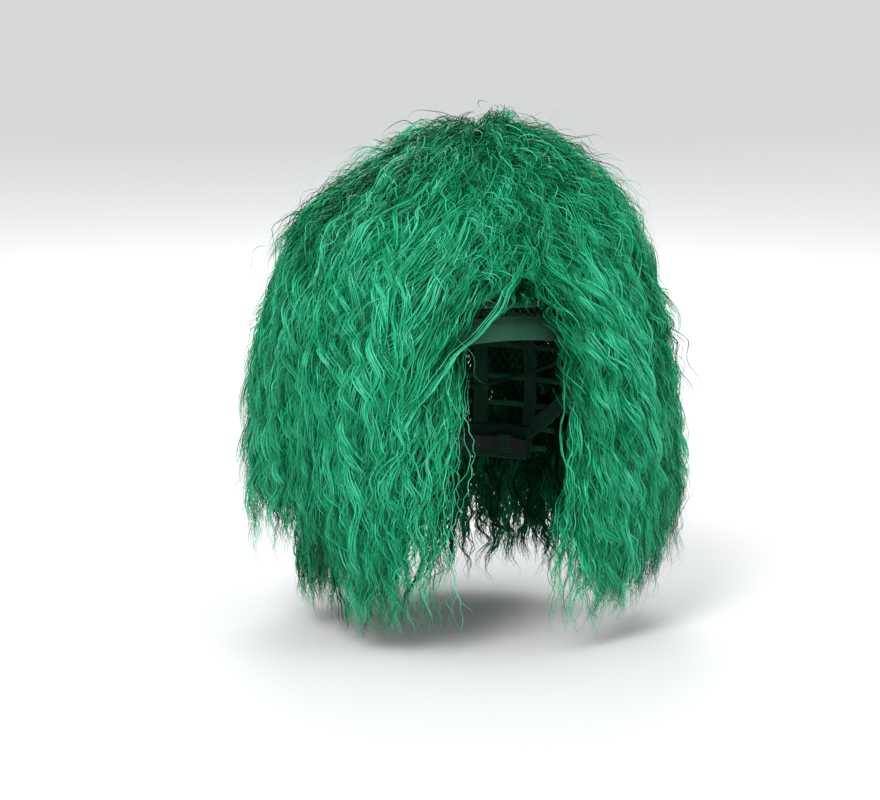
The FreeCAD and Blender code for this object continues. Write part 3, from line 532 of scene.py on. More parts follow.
    # thick S-waved locks that lie on top, their high tone painted light on the outermost hair
    n = count(22)
    az = side * D(g.uniform(5, 38, n))
    tr = g.uniform(20, 100, n)
    te = np.minimum(full * 0.95, tr + g.uniform(110, 240, n))
    out = (19 + 0.72 * np.abs(np.degrees(az))) if side > 0 else (37 + 0.85 * np.abs(np.degrees(az)))
    parts.append(strands("crown", az, tr, te, side * D(out + g.normal(0, 3, n)), g.uniform(0.97, 1.07, n), 18, 66, seed=SEED + 6,
                         clump=4.4, wave=(28, 44, 3.2, 6.5) if side > 0 else (30, 48, 2.5, 5.5), crimp=(12, 18, 0.1, 0.5),
                         flare=3.0, tone=0.62, lock=0.08, width=0.6, sweep=0.7, part=side))
    n = count(34)
    az = side * D(g.uniform(-16, 14, n))
    tr = g.uniform(2, 60, n)
    parts.append(strands("crown", az, tr, tr + g.uniform(30, 70, n), az + D(g.normal(0, 16, n)), g.uniform(0.92, 1.1, n), 9, 34,
                         seed=SEED + 7, clump=3.4, wave=(16, 28, 2.5, 6.0), flare=4.0, tone=0.48, lift=9))
    n = count(120)
    az = side * D(-9 + 49 * g.random(n) ** 1.15)
    tr = g.uniform(3, 85, n)
    te = np.minimum(tr + g.uniform(40, 120, n), L.t_of_z(62) + g.uniform(-30, 8, n))
    te = np.maximum(te, tr + 25)
    parts.append(strands("crown", az, tr, te, az + side * D(g.uniform(-6, 16, n)), g.uniform(0.8, 1.08, n), 9, 42,
                         seed=SEED + 2, clump=3.2, wave=(16, 30, 2.2, 5.6), flare=3.0, tone=0.54, lift=12))
    n = count(110)
    az = side * D(g.uniform(0.5, 40, n))
    tr = g.uniform(3, 95, n)
    te = np.maximum(np.minimum(tr + g.uniform(35, 90, n), L.t_of_z(64)), tr + 20)
    parts.append(strands("crown", az, tr, te, az + side * D(g.uniform(-4, 20, n)), g.uniform(0.95, 1.2, n), 1, 36,
                         seed=SEED + 3, clump=0.5, wave=(15, 30, 2.0, 5.0), flare=5, tone=0.58, width=0.42))
    ribbons("tresses_" + node, parts, [node])
    ribbons("tuft_" + node, [tuft(64, 9, 30, 5000 + SEED, side)], [node])

    # ---- curtain beside the face
    SEED += 7
    g = np.random.default_rng(SEED)
    L = LAYERS["curtain"]
    node = "face_curtain_" + tag
    low_edge = 11 if side > 0 else 40
    sweep = 1.0 if side > 0 else 0.55
    n = count(100)
    az = side * D(g.uniform(16 if side > 0 else 25, 42, n))
    tr = g.uniform(0, L.t_of_z(20), n)
    aze = np.maximum(np.abs(np.degrees(az)) * (0.92 if side > 0 else 0.8) + (0 if side > 0 else 22) + g.normal(0, 3, n), low_edge)
    te = L.length * (0.66 + 0.33 * g.random(n))
    ribbons("strands_" + node, [strands("curtain", az, tr, te, side * D(aze), g.uniform(0.25, 1.0, n), 10, 70,
                                        seed=SEED + 1, clump=4.0, wave=big, crimp=FINE, flare=2.0, tone=0.44,
                                        lift=12, sweep=sweep, part=side, bow=side * D(g.normal(5.0 if side > 0 else 0.5, 1.5, n)))], [node])
    parts = []
    n = count(84)
    az = side * D(g.uniform(16 if side > 0 else 25, 42, n))
    tr = g.uniform(0, L.t_of_z(0), n)
    aze = np.maximum(np.abs(np.degrees(az)) * 0.9 + (3 if side > 0 else 19) + g.normal(0, 4, n), low_edge)
    te = np.minimum(L.length, tr + g.uniform(60, 170, n))
    parts.append(strands("curtain", az, tr, te, side * D(aze), g.uniform(0.7, 1.05, n), 7, 52, seed=SEED + 2,
                         clump=2.8, wave=(20, 40, 1.8, 5.0), crimp=FINE, flare=2.5, tone=0.50, lift=12, sweep=sweep, part=side))
    # thin locks and single fibres that hang loose along the edge of the opening
    n = count(20)
    az = side * D(g.uniform(13 if side > 0 else 21, 29, n))
    tr = g.uniform(0, L.t_of_z(20), n)
    aze = g.uniform(6, 15, n) if side > 0 else g.uniform(27, 42, n)
    te = L.length * g.uniform(0.82, 1.0, n)
    parts.append(strands("curtain", az, tr, te, side * D(aze), g.uniform(0.7, 1.05, n), 4, 64, seed=SEED + 5,
                         clump=1.6, wave=(26, 46, 1.5, 4.0), crimp=FINE, flare=1.5, tone=0.52, lift=10, width=0.5))
    n = count(84)
    az = side * D(g.uniform(13 if side > 0 else 21, 41, n))
    tr = g.uniform(0, L.t_of_z(0), n)
    te = np.minimum(L.length, tr + g.uniform(80, 230, n))
    aze = np.abs(np.degrees(az)) + g.uniform(-8, 8, n) + (0 if side > 0 else 7)
    parts.append(strands("curtain", az, tr, te, side * D(aze), g.uniform(0.8, 1.15, n), 1, 54, seed=SEED + 3,
                         clump=0.5, wave=(18, 40, 1.5, 4.5), flare=3.0, tone=0.55, width=0.42))
    ribbons("tresses_" + node, parts, [node])

    # ---- middle wefts, in lower tones: painted shade under the crown hair
    for label, a0, a1, G in (("mid_hair_side_", 38, 86, 70), ("mid_hair_back_outer_", 84, 131, 60),
                             ("mid_hair_back_inner_", 129, 180, 60)):
        SEED += 7
        g = np.random.default_rng(SEED)
        parts = []
        L = LAYERS["mid"]
        n = count(G)
        az = side * D(g.uniform(a0, a1, n))
        tr = rows_for("mid", [68, 46, 24, 46, 24], n, g)
        te = L.length * (0.78 + 0.22 * g.random(n))
        if side < 0:
            te = te - L.length * 0.30 * np.clip(1.25 - np.abs(np.abs(np.degrees(az)) - 88) / 45, 0, 1)
        parts.append(strands("mid", az, tr, te, az + D(g.normal(0, 3.5, n)), g.uniform(0.2, 1.0, n), 9, 42,
                             seed=SEED + 1, clump=4.8, wave=big, crimp=(9.5, 14, 0.6, 1.4), flare=3.0, tone=0.34,
                             width=0.75))
        n = count(G * 0.5)
        az = side * D(g.uniform(a0, a1, n))
        tr = rows_for("mid", [24, 46, 10], n, g)
        te = np.minimum(L.length, tr + g.uniform(100, 170, n))
        if side < 0:
            te = te - L.length * 0.26 * np.clip(1.25 - np.abs(np.abs(np.degrees(az)) - 88) / 45, 0, 1)
        parts.append(strands("mid", az, tr, te, az + D(g.normal(0, 5, n)), g.uniform(0.6, 1.05, n), 6, 36,
                             seed=SEED + 2, clump=4.0, crimp=(9.5, 14, 0.6, 1.4), flare=4.0, tone=0.40, width=0.7))
        ribbons("strands_" + label + tag, parts, [label + tag])

    # ---- nape wefts, in lower tones: painted shade under the upper layers
    for label, a0, a1, G in (("nape_hair_side_", 42, 76, 38), ("nape_hair_back_outer_", 74, 126, 52),
                             ("nape_hair_back_inner_", 124, 180, 58)):
        SEED += 7
        g = np.random.default_rng(SEED)
        parts = []
        L = LAYERS["nape"]
        n = count(G)
        az = side * D(g.uniform(a0, a1, n))
        zs = [-16, -31, -44] if a0 > 70 else [-6, -14]
        tr = rows_for("nape", zs, n, g)
        te = L.length * (0.74 + 0.26 * g.random(n))
        parts.append(strands("nape", az, tr, te, az + D(g.normal(0, 3, n)), g.uniform(0.1, 1.0, n), 9, 30,
                             seed=SEED + 1, clump=4.6, crimp=(9.5, 14, 0.5, 1.2), flare=1.5, tone=0.30, lift=14,
                             width=0.75))
        n = count(G * 0.5)
        az = side * D(g.uniform(a0, a1, n))
        tr = rows_for("nape", zs, n, g)
        te = np.minimum(L.length, tr + g.uniform(60, 120, n))
        parts.append(strands("nape", az, tr, te, az + D(g.normal(0, 4, n)), g.uniform(0.2, 1.0, n), 6, 26,
                             seed=SEED + 2, clump=3.6, crimp=(9.5, 14, 0.5, 1.2), flare=2.0, tone=0.36, lift=14,
                             width=0.7))
        ribbons("strands_" + label + tag, parts, [label + tag])


# ------------------------------------------------------------------ cap: procedural materials
def woven(name, dark, light, pitch_u, pitch_v, rough=0.72, bump=0.4, sheen=0.08, fleck=0.25, twill=0.0):
    """Woven tape: threads along and across the piece (its own UV layer, in millimetres), with lint and wear, and
    painted shade where the threads dip.
    """
    m, nt, b = principled(name)
    N, Lk = nt.nodes, nt.links
    uv = N.new("ShaderNodeUVMap")
    uv.uv_map = "weave"
    sep = N.new("ShaderNodeSeparateXYZ")
    Lk.new(uv.outputs["UV"], sep.inputs[0])

    def op(kind, a, c=None, val=None):
        n = N.new("ShaderNodeMath")
        n.operation = kind
        Lk.new(a, n.inputs[0])
        if c is not None:
            Lk.new(c, n.inputs[1])
        elif val is not None:
            n.inputs[1].default_value = val
        return n.outputs[0]

    u, v = sep.outputs[0], sep.outputs[1]
    if twill:
        u = op("ADD", u, op("MULTIPLY", v, val=twill))
    su = op("SINE", op("MULTIPLY", u, val=2 * math.pi / pitch_u))
    sv = op("SINE", op("MULTIPLY", v, val=2 * math.pi / pitch_v))
    # weave height: lighter where the threads rise, darker where they dip, so its share of the colour is painted shade
    # in the hollows of the weave; it also drives the bump, while the fine and broad noise are lint and random tone
    weave = op("ADD", op("MULTIPLY", op("MULTIPLY", su, sv), val=0.5), val=0.5)
    noise = N.new("ShaderNodeTexNoise")
    noise.inputs["Scale"].default_value = 900.0
    noise.inputs["Detail"].default_value = 3.0
    tex = N.new("ShaderNodeTexCoord")
    Lk.new(tex.outputs["Object"], noise.inputs["Vector"])
    broad = N.new("ShaderNodeTexNoise")
    broad.inputs["Scale"].default_value = 55.0
    Lk.new(tex.outputs["Object"], broad.inputs["Vector"])
    mixv = op("ADD", op("MULTIPLY", weave, val=0.65), op("MULTIPLY", noise.outputs[0], val=fleck))
    mixv = op("ADD", mixv, op("MULTIPLY", broad.outputs[0], val=0.30))
    ramp = N.new("ShaderNodeValToRGB")
    ramp.color_ramp.elements[0].position = 0.18
    ramp.color_ramp.elements[0].color = (*dark, 1)
    ramp.color_ramp.elements[1].position = 0.95
    ramp.color_ramp.elements[1].color = (*light, 1)
    Lk.new(mixv, ramp.inputs[0])
    Lk.new(ramp.outputs[0], b.inputs["Base Color"])
    bn = N.new("ShaderNodeBump")
    bn.inputs["Strength"].default_value = bump
    bn.inputs["Distance"].default_value = 0.00025
    Lk.new(mixv, bn.inputs["Height"])
    Lk.new(bn.outputs[0], b.inputs["Normal"])
    b.inputs["Roughness"].default_value = rough
    b.inputs["Sheen Weight"].default_value = sheen
    b.inputs["Specular IOR Level"].default_value = 0.3
    return m


def moulded(name, dark, light, rough, scale=260.0, metallic=0.0, bump=0.15):
    """Moulded plastic or drawn steel: fine grain, a little wear in the colour."""
    m, nt, b = principled(name)
    N, Lk = nt.nodes, nt.links
    tex = N.new("ShaderNodeTexCoord")
    noise = N.new("ShaderNodeTexNoise")
    noise.inputs["Scale"].default_value = scale
    noise.inputs["Detail"].default_value = 5.0
    Lk.new(tex.outputs["Object"], noise.inputs["Vector"])
    ramp = N.new("ShaderNodeValToRGB")
    ramp.color_ramp.elements[0].position = 0.35
    ramp.color_ramp.elements[0].color = (*dark, 1)
    ramp.color_ramp.elements[1].position = 0.70
    ramp.color_ramp.elements[1].color = (*light, 1)
    Lk.new(noise.outputs[0], ramp.inputs[0])
    Lk.new(ramp.outputs[0], b.inputs["Base Color"])
    bn = N.new("ShaderNodeBump")
    bn.inputs["Strength"].default_value = bump
    bn.inputs["Distance"].default_value = 0.0001
    Lk.new(noise.outputs[0], bn.inputs["Height"])
    Lk.new(bn.outputs[0], b.inputs["Normal"])
    b.inputs["Roughness"].default_value = rough
    b.inputs["Metallic"].default_value = metallic
    return m


M_BAND = woven("elastic_band_weave", (0.004, 0.030, 0.017), (0.020, 0.120, 0.070), 1.3, 1.6)
M_STRAP = woven("strap_elastic_weave", (0.006, 0.008, 0.008), (0.060, 0.070, 0.068), 1.1, 1.1)
M_RIBBON = woven("ribbon_twill", (0.004, 0.028, 0.016), (0.018, 0.105, 0.062), 0.9, 0.9, twill=1.0)
M_TAPE = woven("ladder_webbing", (0.006, 0.008, 0.008), (0.070, 0.080, 0.078), 0.9, 1.3)
M_TRACK = woven("weft_header_thread", (0.003, 0.060, 0.026), (0.020, 0.240, 0.115), 0.9, 0.8, bump=0.6)
M_LACE = woven("tab_lace_weave", (0.004, 0.034, 0.020), (0.022, 0.130, 0.078), 1.6, 1.6, twill=0.6, bump=0.6)
M_SATIN = woven("label_satin_weave", (0.62, 0.62, 0.60), (0.86, 0.86, 0.84), 0.35, 1.8, rough=0.38, bump=0.12, fleck=0.1)
M_NET = woven("net_thread", (0.004, 0.036, 0.020), (0.016, 0.110, 0.062), 0.8, 0.6)
M_THREAD = woven("sewing_thread_twist", (0.004, 0.050, 0.026), (0.030, 0.200, 0.110), 0.5, 0.5, twill=1.5)
M_WHITE_THREAD = woven("strap_stitch_thread", (0.10, 0.11, 0.11), (0.30, 0.32, 0.32), 0.5, 0.5, twill=1.5)
M_HOOK = moulded("hook_moulded_plastic", (0.010, 0.011, 0.012), (0.030, 0.032, 0.034), 0.34)
M_STEEL = moulded("stay_spring_steel", (0.42, 0.42, 0.43), (0.62, 0.62, 0.63), 0.3, metallic=1.0)


# ------------------------------------------------------------------ cap: meshes
def finish_piece(name, verts, quads, uvs, mat, nodes, body, slot_name, smooth=True):
    ob = mesh_object(name, verts, quads, None, [mat], smooth)
    if uvs is not None:
        lay = ob.data.uv_layers.new(name="weave")
        vi = np.empty(len(ob.data.loops), np.int32)
        ob.data.loops.foreach_get("vertex_index", vi)
        lay.data.foreach_set("uv", np.asarray(uvs, np.float32)[vi].reshape(-1))
    if nodes:
        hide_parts(*nodes)
    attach(ob, body)
    return ob


def tape_mesh(C, N, W, thick, ribs=0, M=25, rib_depth=0.22, edge=10):
    """A woven tape: centres C, outward normals N, half-width vectors W (n, 3 each); ribs run lengthwise."""
    C, N, W = (np.asarray(a, float) for a in (C, N, W))
    n = len(C)
    us = np.linspace(-1, 1, M)
    e = np.sqrt(np.clip(1 - np.abs(us) ** edge, 0, 1))
    h = 0.5 * thick * e
    if ribs:
        h = h * (1 - rib_depth * (0.5 + 0.5 * np.cos(math.pi * (us + 1) * ribs)))
    ring_u = np.concatenate([us, us[-2:0:-1]])
    ring_h = np.concatenate([h, -h[-2:0:-1]])
    R_ = len(ring_u)
    V = C[:, None] + W[:, None] * ring_u[None, :, None] + N[:, None] * ring_h[None, :, None]
    d = np.concatenate([[0], np.cumsum(np.linalg.norm(np.diff(C, axis=0), axis=1))])
    hw = np.linalg.norm(W, axis=1)
    uv = np.stack([np.repeat(d[:, None], R_, 1), hw[:, None] * ring_u[None]], -1)
    idx = np.arange(n * R_).reshape(n, R_)
    nxt = np.roll(idx, -1, axis=1)
    q = np.stack([idx[:-1], nxt[:-1], nxt[1:], idx[1:]], -1).reshape(-1, 4)
    caps = []
    for row, flip in ((0, 1), (n - 1, 0)):
        for k in range(M - 1):
            a, b2 = idx[row, k], idx[row, k + 1]
            c, d2 = idx[row, (R_ - k - 1) % R_], idx[row, (R_ - k) % R_]
            f = (a, b2, c, d2) if k else (a, b2, c, c)
            if k == 0:
                f = (a, b2, c, a) if False else None
            if f is not None and len(set(f)) == 4:
                caps.append(f[::-1] if flip else f)
    if caps:
        q = np.concatenate([q, np.array(caps)])
    return V.reshape(-1, 3), q, uv.reshape(-1, 2)


def tubes_mesh(lines, radius, sides=6):
    """Round threads along a list of polylines (each (n, 3)), tapered at both ends."""
    vs, qs, uvs, base = [], [], [], 0
    for P in lines:
        P = np.asarray(P, float)
        n = len(P)
        T = unit(np.gradient(P, axis=0))
        ref = np.where(np.abs(T[:, 2:3]) < 0.9, np.array([[0, 0, 1.0]]), np.array([[1.0, 0, 0]]))
        A = unit(np.cross(T, ref))
        B = np.cross(T, A)
        rr = np.full(n, radius, float)
        rr[0] = rr[-1] = radius * 0.35
        th = np.linspace(0, 2 * math.pi, sides, endpoint=False)
        V = P[:, None] + (A[:, None] * np.cos(th)[None, :, None] + B[:, None] * np.sin(th)[None, :, None]) * rr[:, None, None]
        d = np.concatenate([[0], np.cumsum(np.linalg.norm(np.diff(P, axis=0), axis=1))])
        uv = np.stack([np.repeat(d[:, None], sides, 1), np.repeat((th * radius)[None], n, 0)], -1)
        idx = np.arange(n * sides).reshape(n, sides) + base
        nxt = np.roll(idx, -1, axis=1)
        qs.append(np.stack([idx[:-1], nxt[:-1], nxt[1:], idx[1:]], -1).reshape(-1, 4))
        vs.append(V.reshape(-1, 3))
        uvs.append(uv.reshape(-1, 2))
        base += n * sides
    return np.concatenate(vs), np.concatenate(qs), np.concatenate(uvs)


def merge(*meshes):
    vs, qs, us, base = [], [], [], 0
    for v, q, u in meshes:
        vs.append(v)
        qs.append(np.asarray(q) + base)
        us.append(u)
        base += len(v)
    return np.concatenate(vs), np.concatenate(qs), np.concatenate(us)


def on_head(off, z, az):
    """Point(s) on the head surface grown by off; az in radians from the front."""
    z = np.asarray(z, float) + 0 * np.asarray(az, float)
    r = head_radius(off, z, az)
    return np.stack([r * np.sin(az), -r * np.cos(az), z], -1)


def plane_height(off, az, z0, slope_deg, rise):
    k = math.tan(math.radians(slope_deg))
    z = np.full(len(az), float(z0))
    for _ in range(60):
        y = -head_radius(off, z, az) * np.cos(az)
        z = 0.5 * z + 0.5 * (z0 + rise - k * y)
    return z


def head_tape(az, zl, zh, off, thick, ribs, M=25, wav=0.0):
    """A tape bent round the head between the heights zl and zh; off is its inner face's distance."""
    Pl, Ph = on_head(off + thick / 2, zl, az), on_head(off + thick / 2, zh, az)
    C = 0.5 * (Pl + Ph)
    W = 0.5 * (Ph - Pl)
    T = unit(np.gradient(C, axis=0))
    N = unit(np.cross(T, unit(W)))
    out = np.sign(np.sum(N * C * np.array([1, 1, 0]), axis=1, keepdims=True))
    N = N * out
    if wav:
        d = np.linspace(0, 1, len(C)) * len(C)
        C = C + N * (wav * np.sin(d * 1.9))[:, None]
    return tape_mesh(C, N, W, thick, ribs, M), C, N, W


def stitch_lines(C, N, W, at, lift, pitch=2.6, on=1.8):
    """Running stitches along a tape at the given places across it (-1..1)."""
    d = np.concatenate([[0], np.cumsum(np.linalg.norm(np.diff(C, axis=0), axis=1))])
    lines = []
    for a in at:
        for k in range(int((d[-1] - 4) / pitch)):
            s0 = 2 + k * pitch
            ss = np.linspace(s0, s0 + on, 4)
            pts = np.stack([np.interp(ss, d, (C + W * a + N * lift)[:, i]) for i in range(3)], -1)
            nn = np.stack([np.interp(ss, d, N[:, i]) for i in range(3)], -1)
            pts = pts + nn * (np.array([-0.25, 0.12, 0.12, -0.25]) * np.sign(lift))[:, None]
            lines.append(pts)
    return lines


def zigzag_lines(C, N, W, half, lift, pitch=2.2):
    """One zigzag seam down the middle of a tape."""
    d = np.concatenate([[0], np.cumsum(np.linalg.norm(np.diff(C, axis=0), axis=1))])
    n = max(4, int(d[-1] / pitch))
    ss = np.linspace(0.6, d[-1] - 0.6, n)
    Wn = unit(W)
    f = lambda A: np.stack([np.interp(ss, d, A[:, i]) for i in range(3)], -1)
    sgn = np.where(np.arange(n) % 2, 1.0, -1.0)[:, None]
    return [f(C) + f(Wn) * sgn * half + f(N) * lift]


# hairline band, nape band, ear arches: covered elastic with lengthwise ribs and two rows of stitching
BT = 1.2
rise = 16.0 / math.cos(math.radians(19.8))
az = D(np.linspace(-93, 93, 150))
band_geo, Cb, Nb, Wb = head_tape(az, plane_height(0, az, 14.0, 19.8, 0), plane_height(0, az, 14.0, 19.8, rise), 0.0, BT, 9, 40)
finish_piece("front_band_elastic", *band_geo, M_BAND, ["front_band"], "wig", "elastic_band")
st = stitch_lines(Cb, Nb, Wb, (-0.78, 0.78), -0.55) + stitch_lines(Cb, Nb, Wb, (0.78,), 0.55)
finish_piece("front_band_stitching", *tubes_mesh(st, 0.24, 5), M_THREAD, None, "wig", "sewing_thread")

az = D(np.linspace(128, 232, 90))
band_geo, Cn, Nn, Wn_ = head_tape(az, np.full(90, -52.0), np.full(90, -30.0), 0.0, BT, 12, 52)
finish_piece("nape_band_elastic", *band_geo, M_BAND, ["nape_band"], "wig", "elastic_band")
st = stitch_lines(Cn, Nn, Wn_, (-0.84, 0.84), -0.55) + zigzag_lines(Cn, Nn, Wn_, 1.6, -0.68)
finish_piece("nape_band_stitching", *tubes_mesh(st, 0.24, 5), M_THREAD, None, "wig", "sewing_thread")

aw = 6.0 / math.cos(math.radians(37.5))
for tag, lo, hi in (("left", 93.4, 127.6), ("right", 232.4, 266.6)):
    az = D(np.linspace(lo, hi, 44))
    geo, Ca, Na, Wa = head_tape(az, plane_height(0, az, 7.0, 37.5, -aw), plane_height(0, az, 7.0, 37.5, aw), 0.0, BT, 7, 32)
    finish_piece("ear_arch_binding_" + tag, *geo, M_BAND, ["ear_arch_" + tag], "wig", "elastic_band")
    finish_piece("ear_arch_stitching_" + tag, *tubes_mesh(stitch_lines(Ca, Na, Wa, (-0.7, 0.7), -0.55), 0.24, 5), M_THREAD,
                 None, "wig", "sewing_thread")

# upright ribbons at the back, lower ends lying on the nape band
for label, azd in (("ribbon_centre", 180.0), ("ribbon_inner_left", 154.0), ("ribbon_inner_right", 206.0),
                   ("ribbon_outer_left", 130.0), ("ribbon_outer_right", 230.0)):
    z = np.linspace(-50, 34, 64)
    lift = -(2.3 - 1.2 - 0.15) * smoothstep((-26 - z) / 8.0)
    a = D(azd)
    r = np.array([head_radius(2.3 + l, zz, a) for l, zz in zip(lift, z)]) + 0.35
    C = np.stack([r * math.sin(a), -r * math.cos(a), z], -1)
    p1, p2 = on_head(2.3, np.array([0.0]), np.array([a - 0.01]))[0], on_head(2.3, np.array([0.0]), np.array([a + 0.01]))[0]
    tdir = unit(p2 - p1)
    W = np.repeat((tdir * 5.5)[None], len(z), 0)
    N = unit(np.cross(np.gradient(C, axis=0), W))
    N = N * np.sign(np.sum(N * C * np.array([1, 1, 0]), axis=1, keepdims=True))
    wob = 0.12 * np.sin(z / 4.1 + azd)
    C = C + N * wob[:, None] * smoothstep((z + 44) / 10)[:, None]
    finish_piece("woven_" + label, *tape_mesh(C, N, W, 0.7, 6, 30, 0.3, 14), M_RIBBON, [label], "wig", "elastic_band")
    st = stitch_lines(C, N, W, (-0.82, 0.82), 0.36, 2.4, 1.6)
    finish_piece("stitching_" + label, *tubes_mesh(st, 0.2, 5), M_THREAD, None, "wig", "sewing_thread")

# weft headers: folded and sewn strips, each with a zigzag seam and the cut fibre loops standing along its top
TRACKS = [(-44.0, 62.0), (-31.0, 66.0), (-16.0, 84.0), (2.0, 96.0), (24.0, 118.0), (46.0, 134.0), (68.0, None), (90.0, None)]
for i, (zt, span) in enumerate(TRACKS, start=1):
    g = np.random.default_rng(900 + i)
    closed = span is None
    a0, a1 = (0.0, 360.0) if closed else (180 - span, 180 + span)
    n = int((a1 - a0) / 1.6)
    az = D(np.linspace(a0, a1, n))
    dz = 0.12 * np.sin(az * 31) + 0.1 * np.sin(az * 53 + 1)
    geo, C, N, W = head_tape(az, zt - 1.6 + dz, zt + 1.6 + dz, 4.0, 0.8, 3, 14)
    seams = zigzag_lines(C, N, W, 0.95, 0.46, 1.5) + zigzag_lines(C, N, W, 0.95, -0.46, 1.5)
    finish_piece("weft_header_%d" % i, *geo, M_TRACK, ["weft_track_%d" % i], "wig", "weft_thread")
    loops = []
    d = np.concatenate([[0], np.cumsum(np.linalg.norm(np.diff(C, axis=0), axis=1))])
    for s0 in np.arange(1.0, d[-1] - 1.0, 2.1):
        c = np.array([np.interp(s0, d, C[:, k]) for k in range(3)])
        nn = np.array([np.interp(s0, d, N[:, k]) for k in range(3)])
        tt = np.array([np.interp(min(s0 + 0.8, d[-1]), d, C[:, k]) for k in range(3)]) - c
        tt = tt / max(1e-6, np.linalg.norm(tt))
        up = np.array([0, 0, 1.0])
        hgt = g.uniform(0.7, 1.3)
        th = np.linspace(0, math.pi, 6)
        loops.append(c + up * 1.3 + tt * (np.cos(th) * 0.8)[:, None] + up * (np.sin(th) * hgt)[:, None] + nn * g.uniform(-0.2, 0.2))
    finish_piece("weft_seam_%d" % i, *merge(tubes_mesh(seams, 0.2, 5), tubes_mesh(loops, 0.18, 4)), M_THREAD, None,
                 "wig", "sewing_thread")


# closing coil: the last header wound flat, twisted cord of two plies held by catch stitches
def coil_height(r, minor):
    return (CAP_C + 2.2) * math.sqrt(1 - (r / (CAP_B + 2.2)) ** 2) + minor + 0.15


turns = []
for R0 in (20.0, 11.0):
    th = np.linspace(0, 2 * math.pi, 260)
    zc0 = coil_height(R0, 1.1)
    for phase in (0.0, math.pi):
        tw = th * R0 / 1.7 + phase
        rr = R0 + 0.52 * np.cos(tw)
        turns.append(np.stack([rr * np.cos(th), rr * np.sin(th), zc0 + 0.52 * np.sin(tw)], -1))
z1, z0 = coil_height(20.0, 1.1), coil_height(11.0, 1.1)
lk = np.linspace(0, 1, 24)
for phase in (0.0, math.pi):
    turns.append(np.stack([0.42 * np.cos(lk * 14 + phase), 11 + 9 * lk, z0 + (z1 - z0) * lk + 0.42 * np.sin(lk * 14 + phase)], -1))
ties = []
for k in range(26):
    a = 2 * math.pi * k / 26
    for R0 in (20.0, 11.0):
        if R0 < 15 and k % 2:
            continue
        zc0 = coil_height(R0, 1.1)
        tt = np.linspace(-0.6, math.pi + 0.6, 7)
        rr = R0 + 1.35 * np.cos(tt)
        ties.append(np.stack([rr * math.cos(a), rr * math.sin(a), zc0 + 1.3 * np.sin(tt)], -1))
finish_piece("crown_coil_cord", *tubes_mesh(turns, 0.58, 8), M_TRACK, ["crown_coil"], "wig", "weft_thread")
finish_piece("crown_coil_ties", *tubes_mesh(ties, 0.2, 5), M_THREAD, None, "wig", "sewing_thread")

# crown net: knitted diamond net stretched over the crown, its lower edge caught in the hairline band
sl = math.radians(19.8)
threads = []
NT = 84
for k in range(NT):
    for sgn in (1, -1):
        v = np.linspace(0.0, 1.0, 90)
        azk = 2 * math.pi * k / NT + sgn * v * 1.62
        lat = D(4.0 + v * 84.0)                      # angle down from the top
        x, y, z = 79.8 * np.sin(lat) * np.sin(azk), -99.8 * np.sin(lat) * np.cos(azk), 121.8 * np.cos(lat)
        P = np.stack([x, y, z], -1)
        hgt = y * math.sin(sl) + (z - 14.0) * math.cos(sl)
        ok = hgt > 11.0
        if ok.sum() > 6:
            last = np.where(ok)[0].max()
            threads.append(P[:last + 1:1 if last < 60 else 2])
edge = []
azr = np.linspace(0, 2 * math.pi, 240)
for lvl in (11.0, 12.2):
    z = np.full(240, 40.0)
    for _ in range(80):
        y = -head_radius(1.8, z, azr) * np.cos(azr)
        z = 0.5 * z + 0.5 * (14.0 + (lvl - y * math.sin(sl)) / math.cos(sl))
    edge.append(on_head(1.8, z, azr))
finish_piece("crown_net_mesh", *merge(tubes_mesh(threads, 0.27, 4), tubes_mesh(edge, 0.5, 6)), M_NET, ["crown_net"], "wig",
             "elastic_net")

# size straps: woven elastic along an arc, its end folded round the bar of the hook and sewn down
SC, SM, ZM = 26.0, 58.1, -41.0


def arc_point(t_deg, r, side):
    """Points at t degrees from the back middle, radius r about the strap axis, on one side."""
    a = D(90 - np.asarray(t_deg, float)) if side > 0 else D(90 + np.asarray(t_deg, float))
    return np.stack([r * np.cos(a), SC + r * np.sin(a), np.full_like(a, ZM)], -1)


